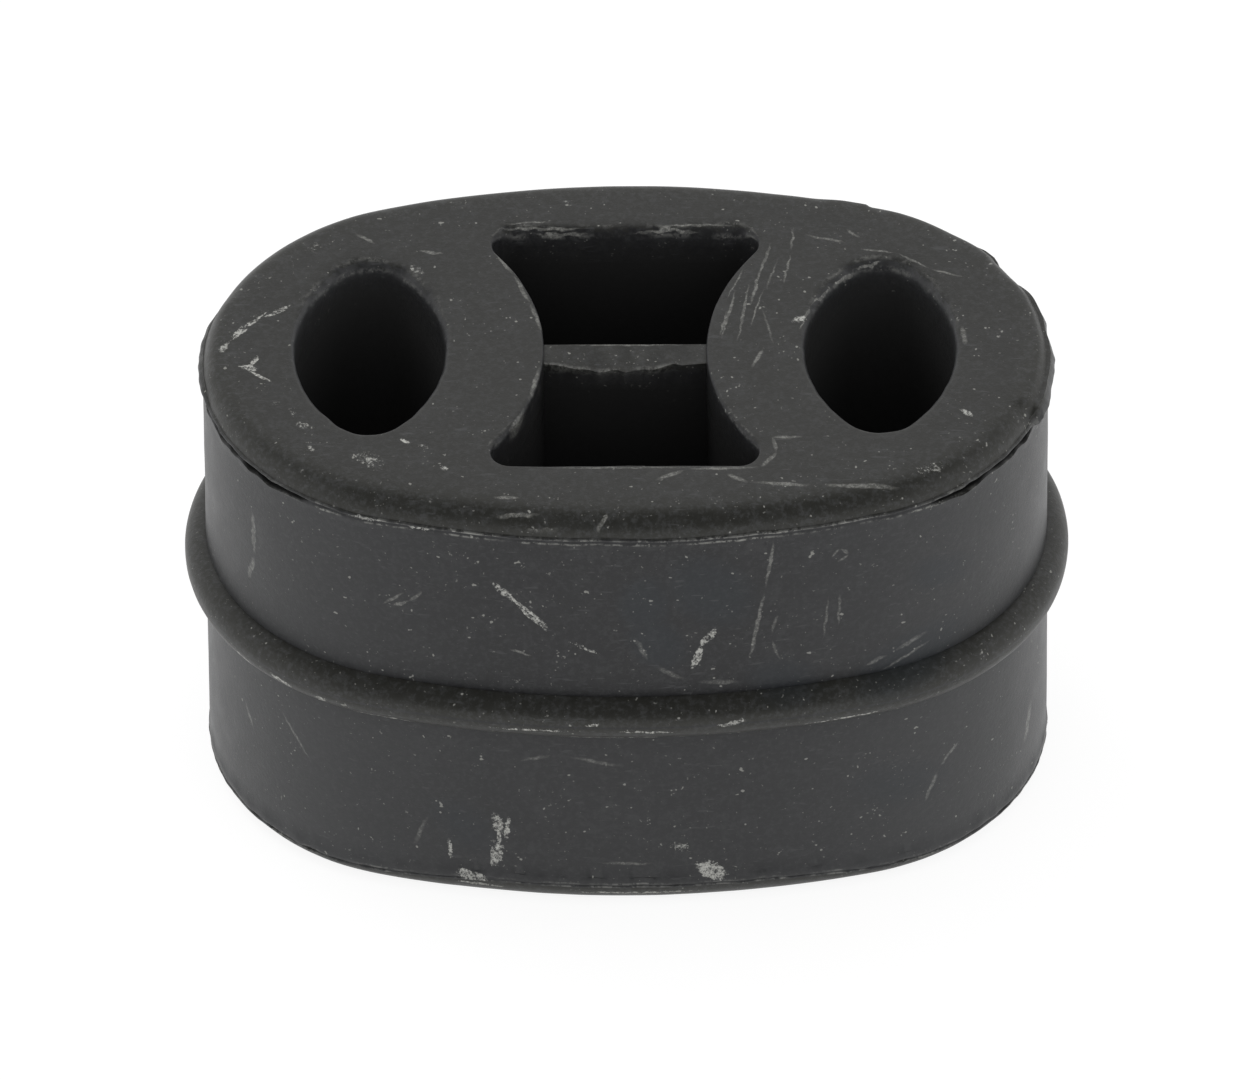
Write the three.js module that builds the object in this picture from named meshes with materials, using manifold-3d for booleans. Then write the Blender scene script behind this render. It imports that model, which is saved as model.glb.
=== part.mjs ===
// Exhaust hanger: one rubber moulding that carries a pipe's rod under a vehicle's floor.
// Millimetres. +X runs along the long axis of the oval, +Z along the bores.
// The origin is at the middle of the bottom face.

import * as THREE from 'three';
import { mergeVertices } from 'three/addons/utils/BufferGeometryUtils.js';
import Module from 'manifold-3d';

// Rod bores
const BORE_SPACING = 37.4;
const BORE_WIDTH = 11.0;
const BORE_LENGTH = 19.2;
const BORE_TIP_RADIUS = 3.0;

// Rubber round the bores
const END_WALL = 6.8;
const INNER_WALL = 7.25;

// Cavity between the bores
const CAVITY_WIDTH = 26.8;
const CAVITY_SIDE_RADIUS = 18.85;
const CAVITY_CORNER_RADIUS = 1.5;
const SIDE_WALL = 6.4;

// Web across the middle of the cavity
const WEB_THICKNESS = 2.2;
const WEB_RECESS = 0.6;

// Outside of the block
const BLOCK_HEIGHT = 37.0;
const SIDE_BOW = 1.9;
const RIM_HEIGHT = 1.9;
const RIM_WIDTH = 1.5;
const PARTING_STEP = 0.1;

// Bead round the middle of the wall
const BEAD_REACH = 1.55;
const BEAD_HEIGHT = 3.5;
const BEAD_LAND = 0.3;

// Rounded edges where the openings meet the flat faces
const BORE_MOUTH_RADIUS = 0.75;
const CAVITY_MOUTH_RADIUS = 0.45;

// Thin ridge that the mould leaves where the wall meets each rim
const FLASH_REACH = 0.22;
const FLASH_HEIGHT = 0.36;
const FLASH_LAND = 0.09;

// How finely each arc is cut
const OUTLINE_STEPS = 13;
const BORE_STEPS = 7;
const CAVITY_STEPS = 5;
const ROUND_STEPS = 4;
const RIDGE_STEPS = 1;

// How far a cutting or joining shape runs past a face, and how close points are before they count as one
const OVERRUN = 1.0;
const SAME_POINT = 1e-5;

// Share of a mouth's round that its steeper taper covers, and how thick a taper is at its widest
const STEEP_REACH = 0.42;
const TAPER_LAND = 0.01;

const RUBBER_COLOUR = 0x2b2c2b;

// Sizes that follow
const blockLength = BORE_SPACING + BORE_WIDTH + 2 * END_WALL;
const blockWidth = CAVITY_WIDTH + 2 * SIDE_WALL;
const cavityWaist = BORE_SPACING - BORE_WIDTH - 2 * INNER_WALL;

const wasm = await Module();
wasm.setup();

// Turns a closed three.js geometry into a solid that can be joined and cut.
function solidFrom(geometry) {
  const bare = geometry.clone();
  bare.deleteAttribute('normal');
  bare.deleteAttribute('uv');
  const merged = mergeVertices(bare, SAME_POINT);
  const corners = merged.index.array;
  const triangles = [];
  for (let i = 0; i < corners.length; i += 3) {
    const [a, b, c] = corners.slice(i, i + 3);
    if (a !== b && b !== c && c !== a) {
      triangles.push(a, b, c);
    }
  }
  return new wasm.Manifold(new wasm.Mesh({
    numProp: 3,
    vertProperties: new Float32Array(merged.attributes.position.array),
    triVerts: new Uint32Array(triangles),
  }));
}

// Turns a solid back into a three.js geometry.
function geometryFrom(solid) {
  const mesh = solid.getMesh();
  const geometry = new THREE.BufferGeometry();
  geometry.setAttribute('position', new THREE.BufferAttribute(new Float32Array(mesh.vertProperties), 3));
  geometry.setIndex(new THREE.BufferAttribute(new Uint32Array(mesh.triVerts), 1));
  geometry.computeVertexNormals();
  return geometry;
}

// A closed oval of four arcs, two tight ones at the ends and two flat ones along the sides.
// grow moves the whole outline outwards by that much, and inwards when negative.
function ovalShape(length, width, endRadius, grow = 0) {
  const endCentre = length / 2 - endRadius;
  const sideRadius = (endCentre ** 2 + (width / 2) ** 2 - endRadius ** 2) / (width - 2 * endRadius);
  const sideCentre = sideRadius - width / 2;
  const joint = Math.atan2(sideCentre, endCentre);
  const shape = new THREE.Shape();
  shape.absarc(endCentre, 0, endRadius + grow, -joint, joint);
  shape.absarc(0, -sideCentre, sideRadius + grow, joint, Math.PI - joint);
  shape.absarc(-endCentre, 0, endRadius + grow, Math.PI - joint, Math.PI + joint);
  shape.absarc(0, sideCentre, sideRadius + grow, Math.PI + joint, 2 * Math.PI - joint);
  return shape;
}

// The outline of the block's wall, moved out or in by grow.
function blockShape(grow) {
  return ovalShape(blockLength, blockWidth, blockWidth / 2 - SIDE_BOW, grow);
}

// Extrudes a shape up from z = bottom, with its edges left square.
function prism(shape, bottom, height, steps) {
  const geometry = new THREE.ExtrudeGeometry(shape, {
    depth: height,
    curveSegments: steps,
    bevelEnabled: false,
  });
  return solidFrom(geometry.translate(0, 0, bottom));
}

// A band round the block that swells from rootGrow at its edges to crestGrow along a flat land.
function swell(middle, height, land, rootGrow, crestGrow, roundSteps) {
  const flank = (height - land) / 2;
  const geometry = new THREE.ExtrudeGeometry(blockShape(crestGrow), {
    depth: land,
    curveSegments: OUTLINE_STEPS,
    bevelThickness: flank,
    bevelSize: crestGrow - rootGrow,
    bevelOffset: rootGrow - crestGrow,
    bevelSegments: roundSteps,
  });
  return solidFrom(geometry.translate(0, 0, middle - land / 2));
}

// The block without its openings: a core with rounded rims, and the wall that stands proud of it.
function outerBlock() {
  const wallHeight = BLOCK_HEIGHT - 2 * RIM_HEIGHT;
  const faceGrow = -PARTING_STEP - RIM_WIDTH;
  const core = swell(BLOCK_HEIGHT / 2, BLOCK_HEIGHT, wallHeight, faceGrow, -PARTING_STEP, ROUND_STEPS);
  const wall = prism(blockShape(0), RIM_HEIGHT, wallHeight, OUTLINE_STEPS);
  return core.add(wall);
}

// The bead at mid-height. Its root runs a little way into the wall, so that the two join.
function bead() {
  return swell(BLOCK_HEIGHT / 2, BEAD_HEIGHT, BEAD_LAND, -PARTING_STEP, BEAD_REACH, ROUND_STEPS);
}

// The ridge at one parting line, level with the end of a rim's round.
function flashRidge(level) {
  return swell(level, FLASH_HEIGHT, FLASH_LAND, -PARTING_STEP, FLASH_REACH, RIDGE_STEPS);
}

// A lens of the shape's outline at one flat face. It is reach wider than the shape at that face
// and tapers back to the shape's own size at depth above and below it.
function taper(shape, face, reach, depth, steps) {
  const geometry = new THREE.ExtrudeGeometry(shape, {
    depth: TAPER_LAND,
    curveSegments: steps,
    bevelThickness: depth,
    bevelSize: reach,
    bevelSegments: 1,
  });
  return solidFrom(geometry.translate(0, 0, face - TAPER_LAND / 2));
}

// A cutter of the shape's outline, right through the block, with its mouths opened out at both faces.
// A steep taper and a shallow one together follow the round of each mouth.
function openingCutter(shape, mouthRadius, steps) {
  let cutter = prism(shape, -OVERRUN, BLOCK_HEIGHT + 2 * OVERRUN, steps);
  for (const face of [0, BLOCK_HEIGHT]) {
    cutter = cutter
      .add(taper(shape, face, STEEP_REACH * mouthRadius, mouthRadius, steps))
      .add(taper(shape, face, mouthRadius, STEEP_REACH * mouthRadius, steps));
  }
  return cutter;
}

// The cutter for one rod bore, an upright lens with rounded tips.
function boreCutter(x) {
  const shape = ovalShape(BORE_LENGTH, BORE_WIDTH, BORE_TIP_RADIUS);
  const cutter = openingCutter(shape, BORE_MOUTH_RADIUS, BORE_STEPS);
  return cutter.rotate([0, 0, 90]).translate([x, 0, 0]);
}

// The cavity's outline: straight front and back, rounded corners, and sides that bulge in round the bores.
function cavityShape() {
  const sideCentre = cavityWaist / 2 + CAVITY_SIDE_RADIUS;
  const cornerY = CAVITY_WIDTH / 2 - CAVITY_CORNER_RADIUS;
  const reach = CAVITY_SIDE_RADIUS + CAVITY_CORNER_RADIUS;
  const cornerX = sideCentre - Math.sqrt(reach ** 2 - cornerY ** 2);
  const turn = Math.atan2(cornerY, sideCentre - cornerX);
  const shape = new THREE.Shape();
  shape.moveTo(-cornerX, -CAVITY_WIDTH / 2);
  shape.absarc(cornerX, -cornerY, CAVITY_CORNER_RADIUS, -Math.PI / 2, turn);
  shape.absarc(sideCentre, 0, CAVITY_SIDE_RADIUS, Math.PI + turn, Math.PI - turn, true);
  shape.absarc(cornerX, cornerY, CAVITY_CORNER_RADIUS, -turn, Math.PI / 2);
  shape.absarc(-cornerX, cornerY, CAVITY_CORNER_RADIUS, Math.PI / 2, Math.PI + turn);
  shape.absarc(-sideCentre, 0, CAVITY_SIDE_RADIUS, turn, -turn, true);
  shape.absarc(-cornerX, -cornerY, CAVITY_CORNER_RADIUS, Math.PI - turn, Math.PI * 1.5);
  return shape;
}

// The web, run a little way into the rubber at each of its ends.
function web() {
  const length = cavityWaist + 2 * OVERRUN;
  const height = BLOCK_HEIGHT - 2 * WEB_RECESS;
  const geometry = new THREE.BoxGeometry(length, WEB_THICKNESS, height);
  return solidFrom(geometry.translate(0, 0, BLOCK_HEIGHT / 2));
}

// The whole moulding as one solid.
function hangerSolid() {
  const cavity = openingCutter(cavityShape(), CAVITY_MOUTH_RADIUS, CAVITY_STEPS);
  return outerBlock()
    .add(bead())
    .add(flashRidge(RIM_HEIGHT))
    .add(flashRidge(BLOCK_HEIGHT - RIM_HEIGHT))
    .subtract(boreCutter(-BORE_SPACING / 2))
    .subtract(boreCutter(BORE_SPACING / 2))
    .subtract(cavity)
    .add(web());
}

const rubber = new THREE.MeshStandardMaterial({ color: RUBBER_COLOUR, roughness: 0.72, metalness: 0 });
const hangerBlock = new THREE.Mesh(geometryFrom(hangerSolid()), rubber);
hangerBlock.name = 'hanger_block';

const hanger = new THREE.Group();
hanger.add(hangerBlock);

export default hanger;
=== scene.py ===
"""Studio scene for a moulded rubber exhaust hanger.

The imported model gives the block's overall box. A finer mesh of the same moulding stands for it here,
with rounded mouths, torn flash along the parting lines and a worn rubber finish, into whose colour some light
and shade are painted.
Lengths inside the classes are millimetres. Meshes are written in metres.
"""

import logging
import math
from collections.abc import Sequence
from dataclasses import dataclass, field
from enum import Enum
from typing import NamedTuple

import bmesh
import bpy
import numpy as np
from mathutils import Matrix, Vector, noise
from mathutils.geometry import delaunay_2d_cdt


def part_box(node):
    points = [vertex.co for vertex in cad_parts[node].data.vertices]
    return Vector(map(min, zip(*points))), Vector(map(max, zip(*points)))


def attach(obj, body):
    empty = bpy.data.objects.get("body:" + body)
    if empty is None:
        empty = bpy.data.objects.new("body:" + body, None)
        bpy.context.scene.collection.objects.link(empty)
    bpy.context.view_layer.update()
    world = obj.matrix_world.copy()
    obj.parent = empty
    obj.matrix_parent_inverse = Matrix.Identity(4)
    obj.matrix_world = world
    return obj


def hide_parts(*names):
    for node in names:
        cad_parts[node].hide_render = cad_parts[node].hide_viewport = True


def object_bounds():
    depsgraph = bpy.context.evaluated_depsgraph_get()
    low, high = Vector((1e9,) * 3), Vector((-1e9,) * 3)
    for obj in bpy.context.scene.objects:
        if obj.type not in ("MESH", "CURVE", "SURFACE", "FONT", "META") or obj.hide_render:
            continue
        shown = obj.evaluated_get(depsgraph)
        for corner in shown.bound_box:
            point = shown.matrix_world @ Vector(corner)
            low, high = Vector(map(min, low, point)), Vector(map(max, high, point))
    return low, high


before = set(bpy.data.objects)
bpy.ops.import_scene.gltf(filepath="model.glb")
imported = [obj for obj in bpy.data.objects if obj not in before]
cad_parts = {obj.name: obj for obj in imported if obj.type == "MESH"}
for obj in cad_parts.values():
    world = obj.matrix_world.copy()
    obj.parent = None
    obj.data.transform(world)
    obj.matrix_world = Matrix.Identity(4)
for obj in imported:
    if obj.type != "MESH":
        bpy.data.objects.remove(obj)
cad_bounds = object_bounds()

LOG = logging.getLogger("exhaust_hanger")

MM = 0.001
NODE = "hanger_block"
BODY = "root"

# How close two points of a flat face are before they count as one, in millimetres
SAME_POINT = 1e-6

Colour = tuple[float, float, float, float]
Band = tuple[float, float]


class Side(Enum):
    """The two flat faces, as the direction of each along Z."""

    TOP = 1
    BOTTOM = -1


class Plane(Enum):
    """The surface a mark lies on, and so what its two coordinates mean."""

    TOP = "X and Y on the top face"
    WALL = "X and Z on the front wall"


class Zone(Enum):
    """Surface areas that the finish tells apart, each a point attribute of the mesh."""

    # Painted shade: how far a point lies in the flat, gloss-free dark of an opening, more with depth
    INSIDE = "inside"
    # Rims, bead and web edges: a tone of their own lifted as painted light, with more mottle and specks
    RIM = "rim"
    SCUFF = "scuff"
    # Painted shade: how much near-black a point takes in the crevices, the pockets and on the web's recessed
    # face
    CREASE = "painted_recess_shade"


def smooth_step(value: np.ndarray | float, low: float, high: float) -> np.ndarray:
    """A smooth rise from 0 at low to 1 at high, whichever of the two is the greater.

    Args:
        value: Numbers to place between the two limits.
        low: Where the rise starts.
        high: Where it ends.

    Returns:
        Numbers from 0 to 1.
    """
    share = np.clip((np.asarray(value, float) - low) / (high - low), 0.0, 1.0)
    return share * share * (3.0 - 2.0 * share)


@dataclass(frozen=True)
class Arc:
    """A stretch of a circle, run anticlockwise where sweep is positive."""

    centre: tuple[float, float]
    radius: float
    start: float
    sweep: float

    @property
    def length(self) -> float:
        """The stretch's length."""
        return abs(self.sweep) * self.radius

    def at(self, distance: np.ndarray) -> tuple[np.ndarray, np.ndarray]:
        """Points on the stretch.

        Args:
            distance: Distances from its start.

        Returns:
            The points, and the directions to the right of the run there.
        """
        turn = math.copysign(1.0, self.sweep)
        angle = self.start + turn * distance / self.radius
        radial = np.stack([np.cos(angle), np.sin(angle)], axis=1)
        return np.array(self.centre) + self.radius * radial, turn * radial


@dataclass(frozen=True)
class Line:
    """A straight stretch."""

    start: tuple[float, float]
    end: tuple[float, float]

    @property
    def length(self) -> float:
        """The stretch's length."""
        return math.dist(self.start, self.end)

    def at(self, distance: np.ndarray) -> tuple[np.ndarray, np.ndarray]:
        """Points on the stretch.

        Args:
            distance: Distances from its start.

        Returns:
            The points, and the directions to the right of the run there.
        """
        run = (np.array(self.end) - np.array(self.start)) / self.length
        right = np.array([run[1], -run[0]])
        points = np.array(self.start) + distance[:, None] * run
        return points, np.repeat(right[None, :], len(distance), axis=0)


@dataclass(frozen=True)
class Ring:
    """An outline cut into points.

    Attributes:
        points: Plan positions, anticlockwise.
        outward: Unit directions out of the outline.
        share: How far round the outline each point lies, from 0 to 1.
        joints: The index at which each stretch starts.
    """

    points: np.ndarray
    outward: np.ndarray
    share: np.ndarray
    joints: tuple[int, ...]

    @property
    def bearing(self) -> np.ndarray:
        """Directions of the points from the outline's centre, in degrees from 0 to 360."""
        centred = self.points - self.points.mean(axis=0)
        return np.degrees(np.arctan2(centred[:, 1], centred[:, 0])) % 360.0

    @property
    def endwise(self) -> np.ndarray:
        """How squarely each point faces an end of the long axis, from 0 to 1."""
        return np.abs(np.cos(np.radians(self.bearing)))

    @property
    def frontwise(self) -> np.ndarray:
        """How squarely each point faces the front, from -1 at the rear to 1."""
        return np.sin(np.radians(-self.bearing))

    def level(self, grow: np.ndarray | float, z: np.ndarray | float) -> np.ndarray:
        """The ring moved outwards and set at a height.

        Args:
            grow: How far out, for the ring or for each point.
            z: Height, for the ring or for each point.

        Returns:
            One row of x, y and z for each point.
        """
        count = len(self.points)
        plan = self.points + self.outward * np.broadcast_to(grow, count)[:, None]
        return np.column_stack([plan, np.broadcast_to(z, count)])


def ring_of(
    stretches: Sequence[Arc | Line], spacing: float, centre: tuple[float, float] = (0.0, 0.0)
) -> Ring:
    """Cuts an outline into points, with one at each joint between stretches.

    Args:
        stretches: The outline's stretches, anticlockwise and end to end.
        spacing: About how far apart the points lie.
        centre: Where the outline's own origin goes.

    Returns:
        The ring of points.
    """
    points, outward, travelled, joints = [], [], [], []
    total = sum(stretch.length for stretch in stretches)
    passed, count = 0.0, 0
    for stretch in stretches:
        steps = max(2, math.ceil(stretch.length / spacing))
        distance = np.arange(steps) * stretch.length / steps
        place, right = stretch.at(distance)
        points.append(place + np.array(centre))
        outward.append(right)
        travelled.append((passed + distance) / total)
        joints.append(count)
        passed += stretch.length
        count += steps
    return Ring(np.concatenate(points), np.concatenate(outward), np.concatenate(travelled), tuple(joints))


def oval(length: float, width: float, end_radius: float, turned: bool = False) -> list[Arc]:
    """The stretches of an oval of four arcs.

    Args:
        length: Size along its long axis.
        width: Size across it.
        end_radius: Radius of the two tight end arcs.
        turned: Whether the long axis lies along Y.

    Returns:
        Four arcs, anticlockwise, from the end of the +X side.
    """
    end_centre = length / 2 - end_radius
    side_radius = (end_centre**2 + (width / 2) ** 2 - end_radius**2) / (width - 2 * end_radius)
    side_centre = side_radius - width / 2
    joint = math.atan2(side_centre, end_centre)
    flat = math.pi - 2 * joint
    quarter = math.pi / 2 if turned else 0.0
    arcs = []
    for centre, radius, start, sweep in (
        ((end_centre, 0.0), end_radius, -joint, 2 * joint),
        ((0.0, -side_centre), side_radius, joint, flat),
        ((-end_centre, 0.0), end_radius, math.pi - joint, 2 * joint),
        ((0.0, side_centre), side_radius, math.pi + joint, flat),
    ):
        place = (-centre[1], centre[0]) if turned else centre
        arcs.append(Arc(place, radius, start + quarter, sweep))
    return arcs


@dataclass(frozen=True)
class Ripple:
    """A value that wanders along a closed outline, the same on every run.

    Attributes:
        low: Its least value.
        high: Its greatest value.
        waves: Fewest and most waves round the outline.
        seed: Picks one of the many such lines.
    """

    low: float
    high: float
    waves: tuple[int, int]
    seed: int

    def along(self, share: np.ndarray) -> np.ndarray:
        """The value at each place.

        Args:
            share: Places along the outline, from 0 to 1.

        Returns:
            Values between low and high.
        """
        random = np.random.default_rng(self.seed)
        total = np.zeros_like(share)
        for count in range(self.waves[0], self.waves[1]):
            total += np.sin(2 * math.pi * (count * share + random.random())) * random.random()
        total = (total - total.min()) / (total.max() - total.min())
        return self.low + (self.high - self.low) * total


@dataclass(frozen=True)
class Tear:
    """A stretch of the parting line where the flash stands out, or where a crevice runs under it.

    Attributes:
        first: Bearing where it starts, in degrees.
        last: Bearing where it ends.
        reach: How far it goes out or in.
        run_in: Degrees over which it grows from nothing after the first bearing.
        run_out: Degrees over which it shrinks to nothing before the last bearing.
    """

    first: float
    last: float
    reach: float
    run_in: float
    run_out: float

    def along(self, bearing: np.ndarray) -> np.ndarray:
        """How far it goes at each bearing.

        Args:
            bearing: Bearings in degrees, from 0 to 360.

        Returns:
            Reaches, 0 outside the stretch.
        """
        span = (self.last - self.first) % 360.0
        passed = (bearing - self.first) % 360.0
        rising = smooth_step(passed, 0.0, self.run_in)
        falling = smooth_step(span - passed, 0.0, self.run_out)
        return np.where(passed <= span, self.reach * np.minimum(rising, falling), 0.0)


class Row(NamedTuple):
    """One ring of the outside, as how far out, how far from mid-height, and its zones."""

    grow: np.ndarray | float
    rise: np.ndarray | float
    zones: dict[Zone, np.ndarray | float]


@dataclass(frozen=True)
class PartingLine:
    """How one parting line wanders round the outline.

    Attributes:
        size: Its height and depth beside those of the upper line.
        wander: How far it rises and falls.
        film: How far the film of flash stands out.
        gape: How deep the crevice under the flash is towards the ends.
        lip: How far the wall's own lip stands out.
        notches: By how much the crevice's depth varies.
        line_scuff: How scuffed the flash is.
        lip_scuff: How scuffed the lip is.
    """

    size: float
    wander: Ripple
    film: Ripple
    gape: Ripple
    lip: Ripple
    notches: Ripple
    line_scuff: Ripple
    lip_scuff: Ripple


def parting_line(size: float, seed: int) -> PartingLine:
    """A parting line whose ripples take their seeds in turn.

    Args:
        size: Its size beside the upper line's.
        seed: The first seed.

    Returns:
        The line.
    """
    return PartingLine(
        size=size,
        wander=Ripple(-0.10, 0.10, (6, 60), seed),
        film=Ripple(0.0, 0.10, (30, 160), seed + 1),
        gape=Ripple(0.0, 0.2, (20, 90), seed + 2),
        lip=Ripple(0.0, 0.10, (25, 120), seed + 3),
        notches=Ripple(0.35, 1.25, (12, 90), seed + 4),
        line_scuff=Ripple(0.1, 1.0, (8, 40), seed + 5),
        lip_scuff=Ripple(0.0, 0.9, (8, 40), seed + 6),
    )


@dataclass(frozen=True)
class Mouth:
    """How the rounded mouths of the openings are worn.

    Attributes:
        front: A mouth's radius at the front, as a share of the usual one.
        rear_gain: What is added to that share at the rear.
        rear_band: How squarely the rear is faced where that gain starts, and where it is whole.
        noise: Least and greatest share by which the radius wanders.
        noise_waves: Fewest and most of its waves.
        rough: How far the round is chipped in and out at the rear.
        rough_band: How squarely the rear is faced where the chipping starts, and where it is whole.
        rough_waves: Fewest and most of its waves.
        steps: How many rows the round has.
        scuffed: The rows that are scuffed.
        scuff: How scuffed they are.
    """

    front: float = 0.55
    rear_gain: float = 0.8
    rear_band: Band = (-0.2, 0.8)
    noise: Band = (0.7, 1.15)
    noise_waves: tuple[int, int] = (3, 30)
    rough: Band = (-0.07, 0.07)
    rough_band: Band = (0.0, 0.8)
    rough_waves: tuple[int, int] = (20, 110)
    steps: int = 6
    scuffed: tuple[int, ...] = (1, 4)
    scuff: float = 0.18


@dataclass(frozen=True)
class WebEdge:
    """How the web's upper edge is out of true. Bands are shares of its length, or of its thickness.

    Attributes:
        droop: How far its front edge leans out.
        left: Share of the length at which the lean starts from the left, and at which it is whole.
        right: The same from the right.
        front: Share of the thickness at which the lean starts, and at which it is whole.
        sink: How far the leaning edge sinks, as a share of its lean.
        sag: How far the edge sags.
        rag: How ragged its front is.
        patchy_shade: Least and greatest painted shade on its recessed face, which lies in patches.
        patchy_shade_seed: Where the seeds of those patches start.
        ripple_share: How much of a ripple's round its length takes.
        scuff: How scuffed the front edge is.
        scuff_front: Share of the thickness at which that scuff starts, and at which it is whole.
        scuff_right: Share of the length at which it starts from the right, and at which it is whole.
        follow: How far the pocket's rows under the edge follow it.
        row: How far below the edge the first of them lies.
    """

    droop: float = 0.45
    left: Band = (0.0, 0.35)
    right: Band = (0.80, 0.62)
    front: Band = (0.55, 1.0)
    sink: float = 0.25
    sag: Ripple = Ripple(0.05, 0.30, (1, 9), 71)
    rag: Ripple = Ripple(-0.06, 0.12, (3, 16), 72)
    # Painted shade in patches on the web's recessed face
    patchy_shade: Band = (0.0, 0.45)
    patchy_shade_seed: int = 80
    ripple_share: float = 0.8
    scuff: float = 0.3
    scuff_front: Band = (0.85, 1.0)
    scuff_right: Band = (0.85, 0.7)
    follow: tuple[float, ...] = (0.6, 0.2)
    row: float = 0.9


class MeshBuilder:
    """Collects rings of points and the faces between them, sharing points so that the mesh is closed.

    Attributes:
        ring_clearance: Share of the spacing that a flat face's inner points keep from its rings.
    """

    ring_clearance: float = 0.55

    def __init__(self) -> None:
        """Starts an empty mesh."""
        self.points: list[np.ndarray] = []
        self.zones: dict[Zone, list[np.ndarray]] = {zone: [] for zone in Zone}
        self.faces: list[tuple[int, ...]] = []
        self.count = 0

    def add(self, points: np.ndarray, zones: dict[Zone, np.ndarray | float] | None = None) -> np.ndarray:
        """Adds points.

        Args:
            points: One row of x, y and z for each.
            zones: How much of each zone they belong to, 0 where it isn't given.

        Returns:
            The points' indices.
        """
        given = zones or {}
        for zone in Zone:
            share = given.get(zone, 0.0)
            self.zones[zone].append(np.broadcast_to(np.asarray(share, float), len(points)).copy())
        self.points.append(points)
        indices = np.arange(self.count, self.count + len(points))
        self.count += len(points)
        return indices

    def bridge(self, first: np.ndarray, second: np.ndarray, closed: bool = True) -> None:
        """Joins two rows of the same number of points with four-sided faces.

        Args:
            first: Indices of one row.
            second: Indices of the other.
            closed: Whether the rows run round and meet themselves.
        """
        last = len(first) if closed else len(first) - 1
        for i in range(last):
            j = (i + 1) % len(first)
            self.faces.append((int(first[i]), int(first[j]), int(second[j]), int(second[i])))

    def position(self, indices: np.ndarray) -> np.ndarray:
        """The points at these indices."""
        return np.concatenate(self.points)[indices]

    def fill(self, outer: np.ndarray, holes: Sequence[np.ndarray], z: float, spacing: float) -> None:
        """Fills a flat face between an outer ring and holes with triangles.

        Args:
            outer: Indices of the outer ring.
            holes: Indices of each hole's ring.
            z: The face's height.
            spacing: About how far apart the points inside it lie.
        """
        rings = [outer, *holes]
        borders = [self.position(ring)[:, :2] for ring in rings]
        low, high = borders[0].min(axis=0), borders[0].max(axis=0)
        row_step = spacing * math.sqrt(3.0) / 2
        inner = []
        for row in range(int((high[1] - low[1]) / row_step) + 1):
            shift = spacing / 2 if row % 2 else 0.0
            x = np.arange(low[0] + shift, high[0], spacing)
            inner.append(np.column_stack([x, np.full(len(x), low[1] + row * row_step)]))
        grid = np.concatenate(inner)
        keep = inside_polygon(grid, borders[0])
        for border in borders[1:]:
            keep &= ~inside_polygon(grid, border)
        for border in borders:
            gap = np.min(np.linalg.norm(grid[:, None, :] - border[None, :, :], axis=2), axis=1)
            keep &= gap > spacing * self.ring_clearance
        grid = grid[keep]
        new = self.add(np.column_stack([grid, np.full(len(grid), z)]))
        indices = np.concatenate([*rings, new])
        plan = np.concatenate([*borders, grid])
        edges = []
        start = 0
        for ring in rings:
            size = len(ring)
            edges += [(start + i, start + (i + 1) % size) for i in range(size)]
            start += size
        whole_hull, keep_sources = 0, True
        result = delaunay_2d_cdt([Vector(p) for p in plan], edges, [], whole_hull, SAME_POINT, keep_sources)
        corners, triangles, origins = result[0], result[2], result[3]
        source = [indices[origin[0]] for origin in origins]
        centres = np.array([np.mean([corners[i] for i in face], axis=0) for face in triangles])
        keep = inside_polygon(centres, borders[0])
        for border in borders[1:]:
            keep &= ~inside_polygon(centres, border)
        for face, wanted in zip(triangles, keep):
            if wanted:
                self.faces.append(tuple(int(source[i]) for i in face))

    def finish(self, name: str, material: bpy.types.Material, crease_angle: float) -> bpy.types.Object:
        """Makes the Blender object.

        Args:
            name: The object's name.
            material: Its material.
            crease_angle: Edges that turn more than this many degrees stay sharp.

        Returns:
            The object, linked to the scene.
        """
        mesh = bpy.data.meshes.new(name)
        points = np.concatenate(self.points) * MM
        mesh.from_pydata(points.tolist(), [], self.faces)
        for zone in Zone:
            attribute = mesh.attributes.new(zone.value, "FLOAT", "POINT")
            attribute.data.foreach_set("value", np.concatenate(self.zones[zone]).astype(np.float32))
        shape = bmesh.new()
        shape.from_mesh(mesh)
        bmesh.ops.recalc_face_normals(shape, faces=shape.faces)
        shape.to_mesh(mesh)
        shape.free()
        mesh.polygons.foreach_set("use_smooth", [True] * len(mesh.polygons))
        mesh.set_sharp_from_angle(angle=math.radians(crease_angle))
        mesh.materials.append(material)
        piece = bpy.data.objects.new(name, mesh)
        bpy.context.scene.collection.objects.link(piece)
        return piece


def inside_polygon(points: np.ndarray, border: np.ndarray) -> np.ndarray:
    """Tells which points lie inside a closed outline.

    Args:
        points: Plan positions.
        border: The outline's corners in order.

    Returns:
        True for each point inside.
    """
    x, y = points[:, 0], points[:, 1]
    inside = np.zeros(len(points), bool)
    for (x1, y1), (x2, y2) in zip(border, np.roll(border, -1, axis=0)):
        if y1 == y2:
            continue
        crosses = (y1 > y) != (y2 > y)
        inside ^= crosses & (x < (x2 - x1) * (y - y1) / (y2 - y1) + x1)
    return inside


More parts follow.
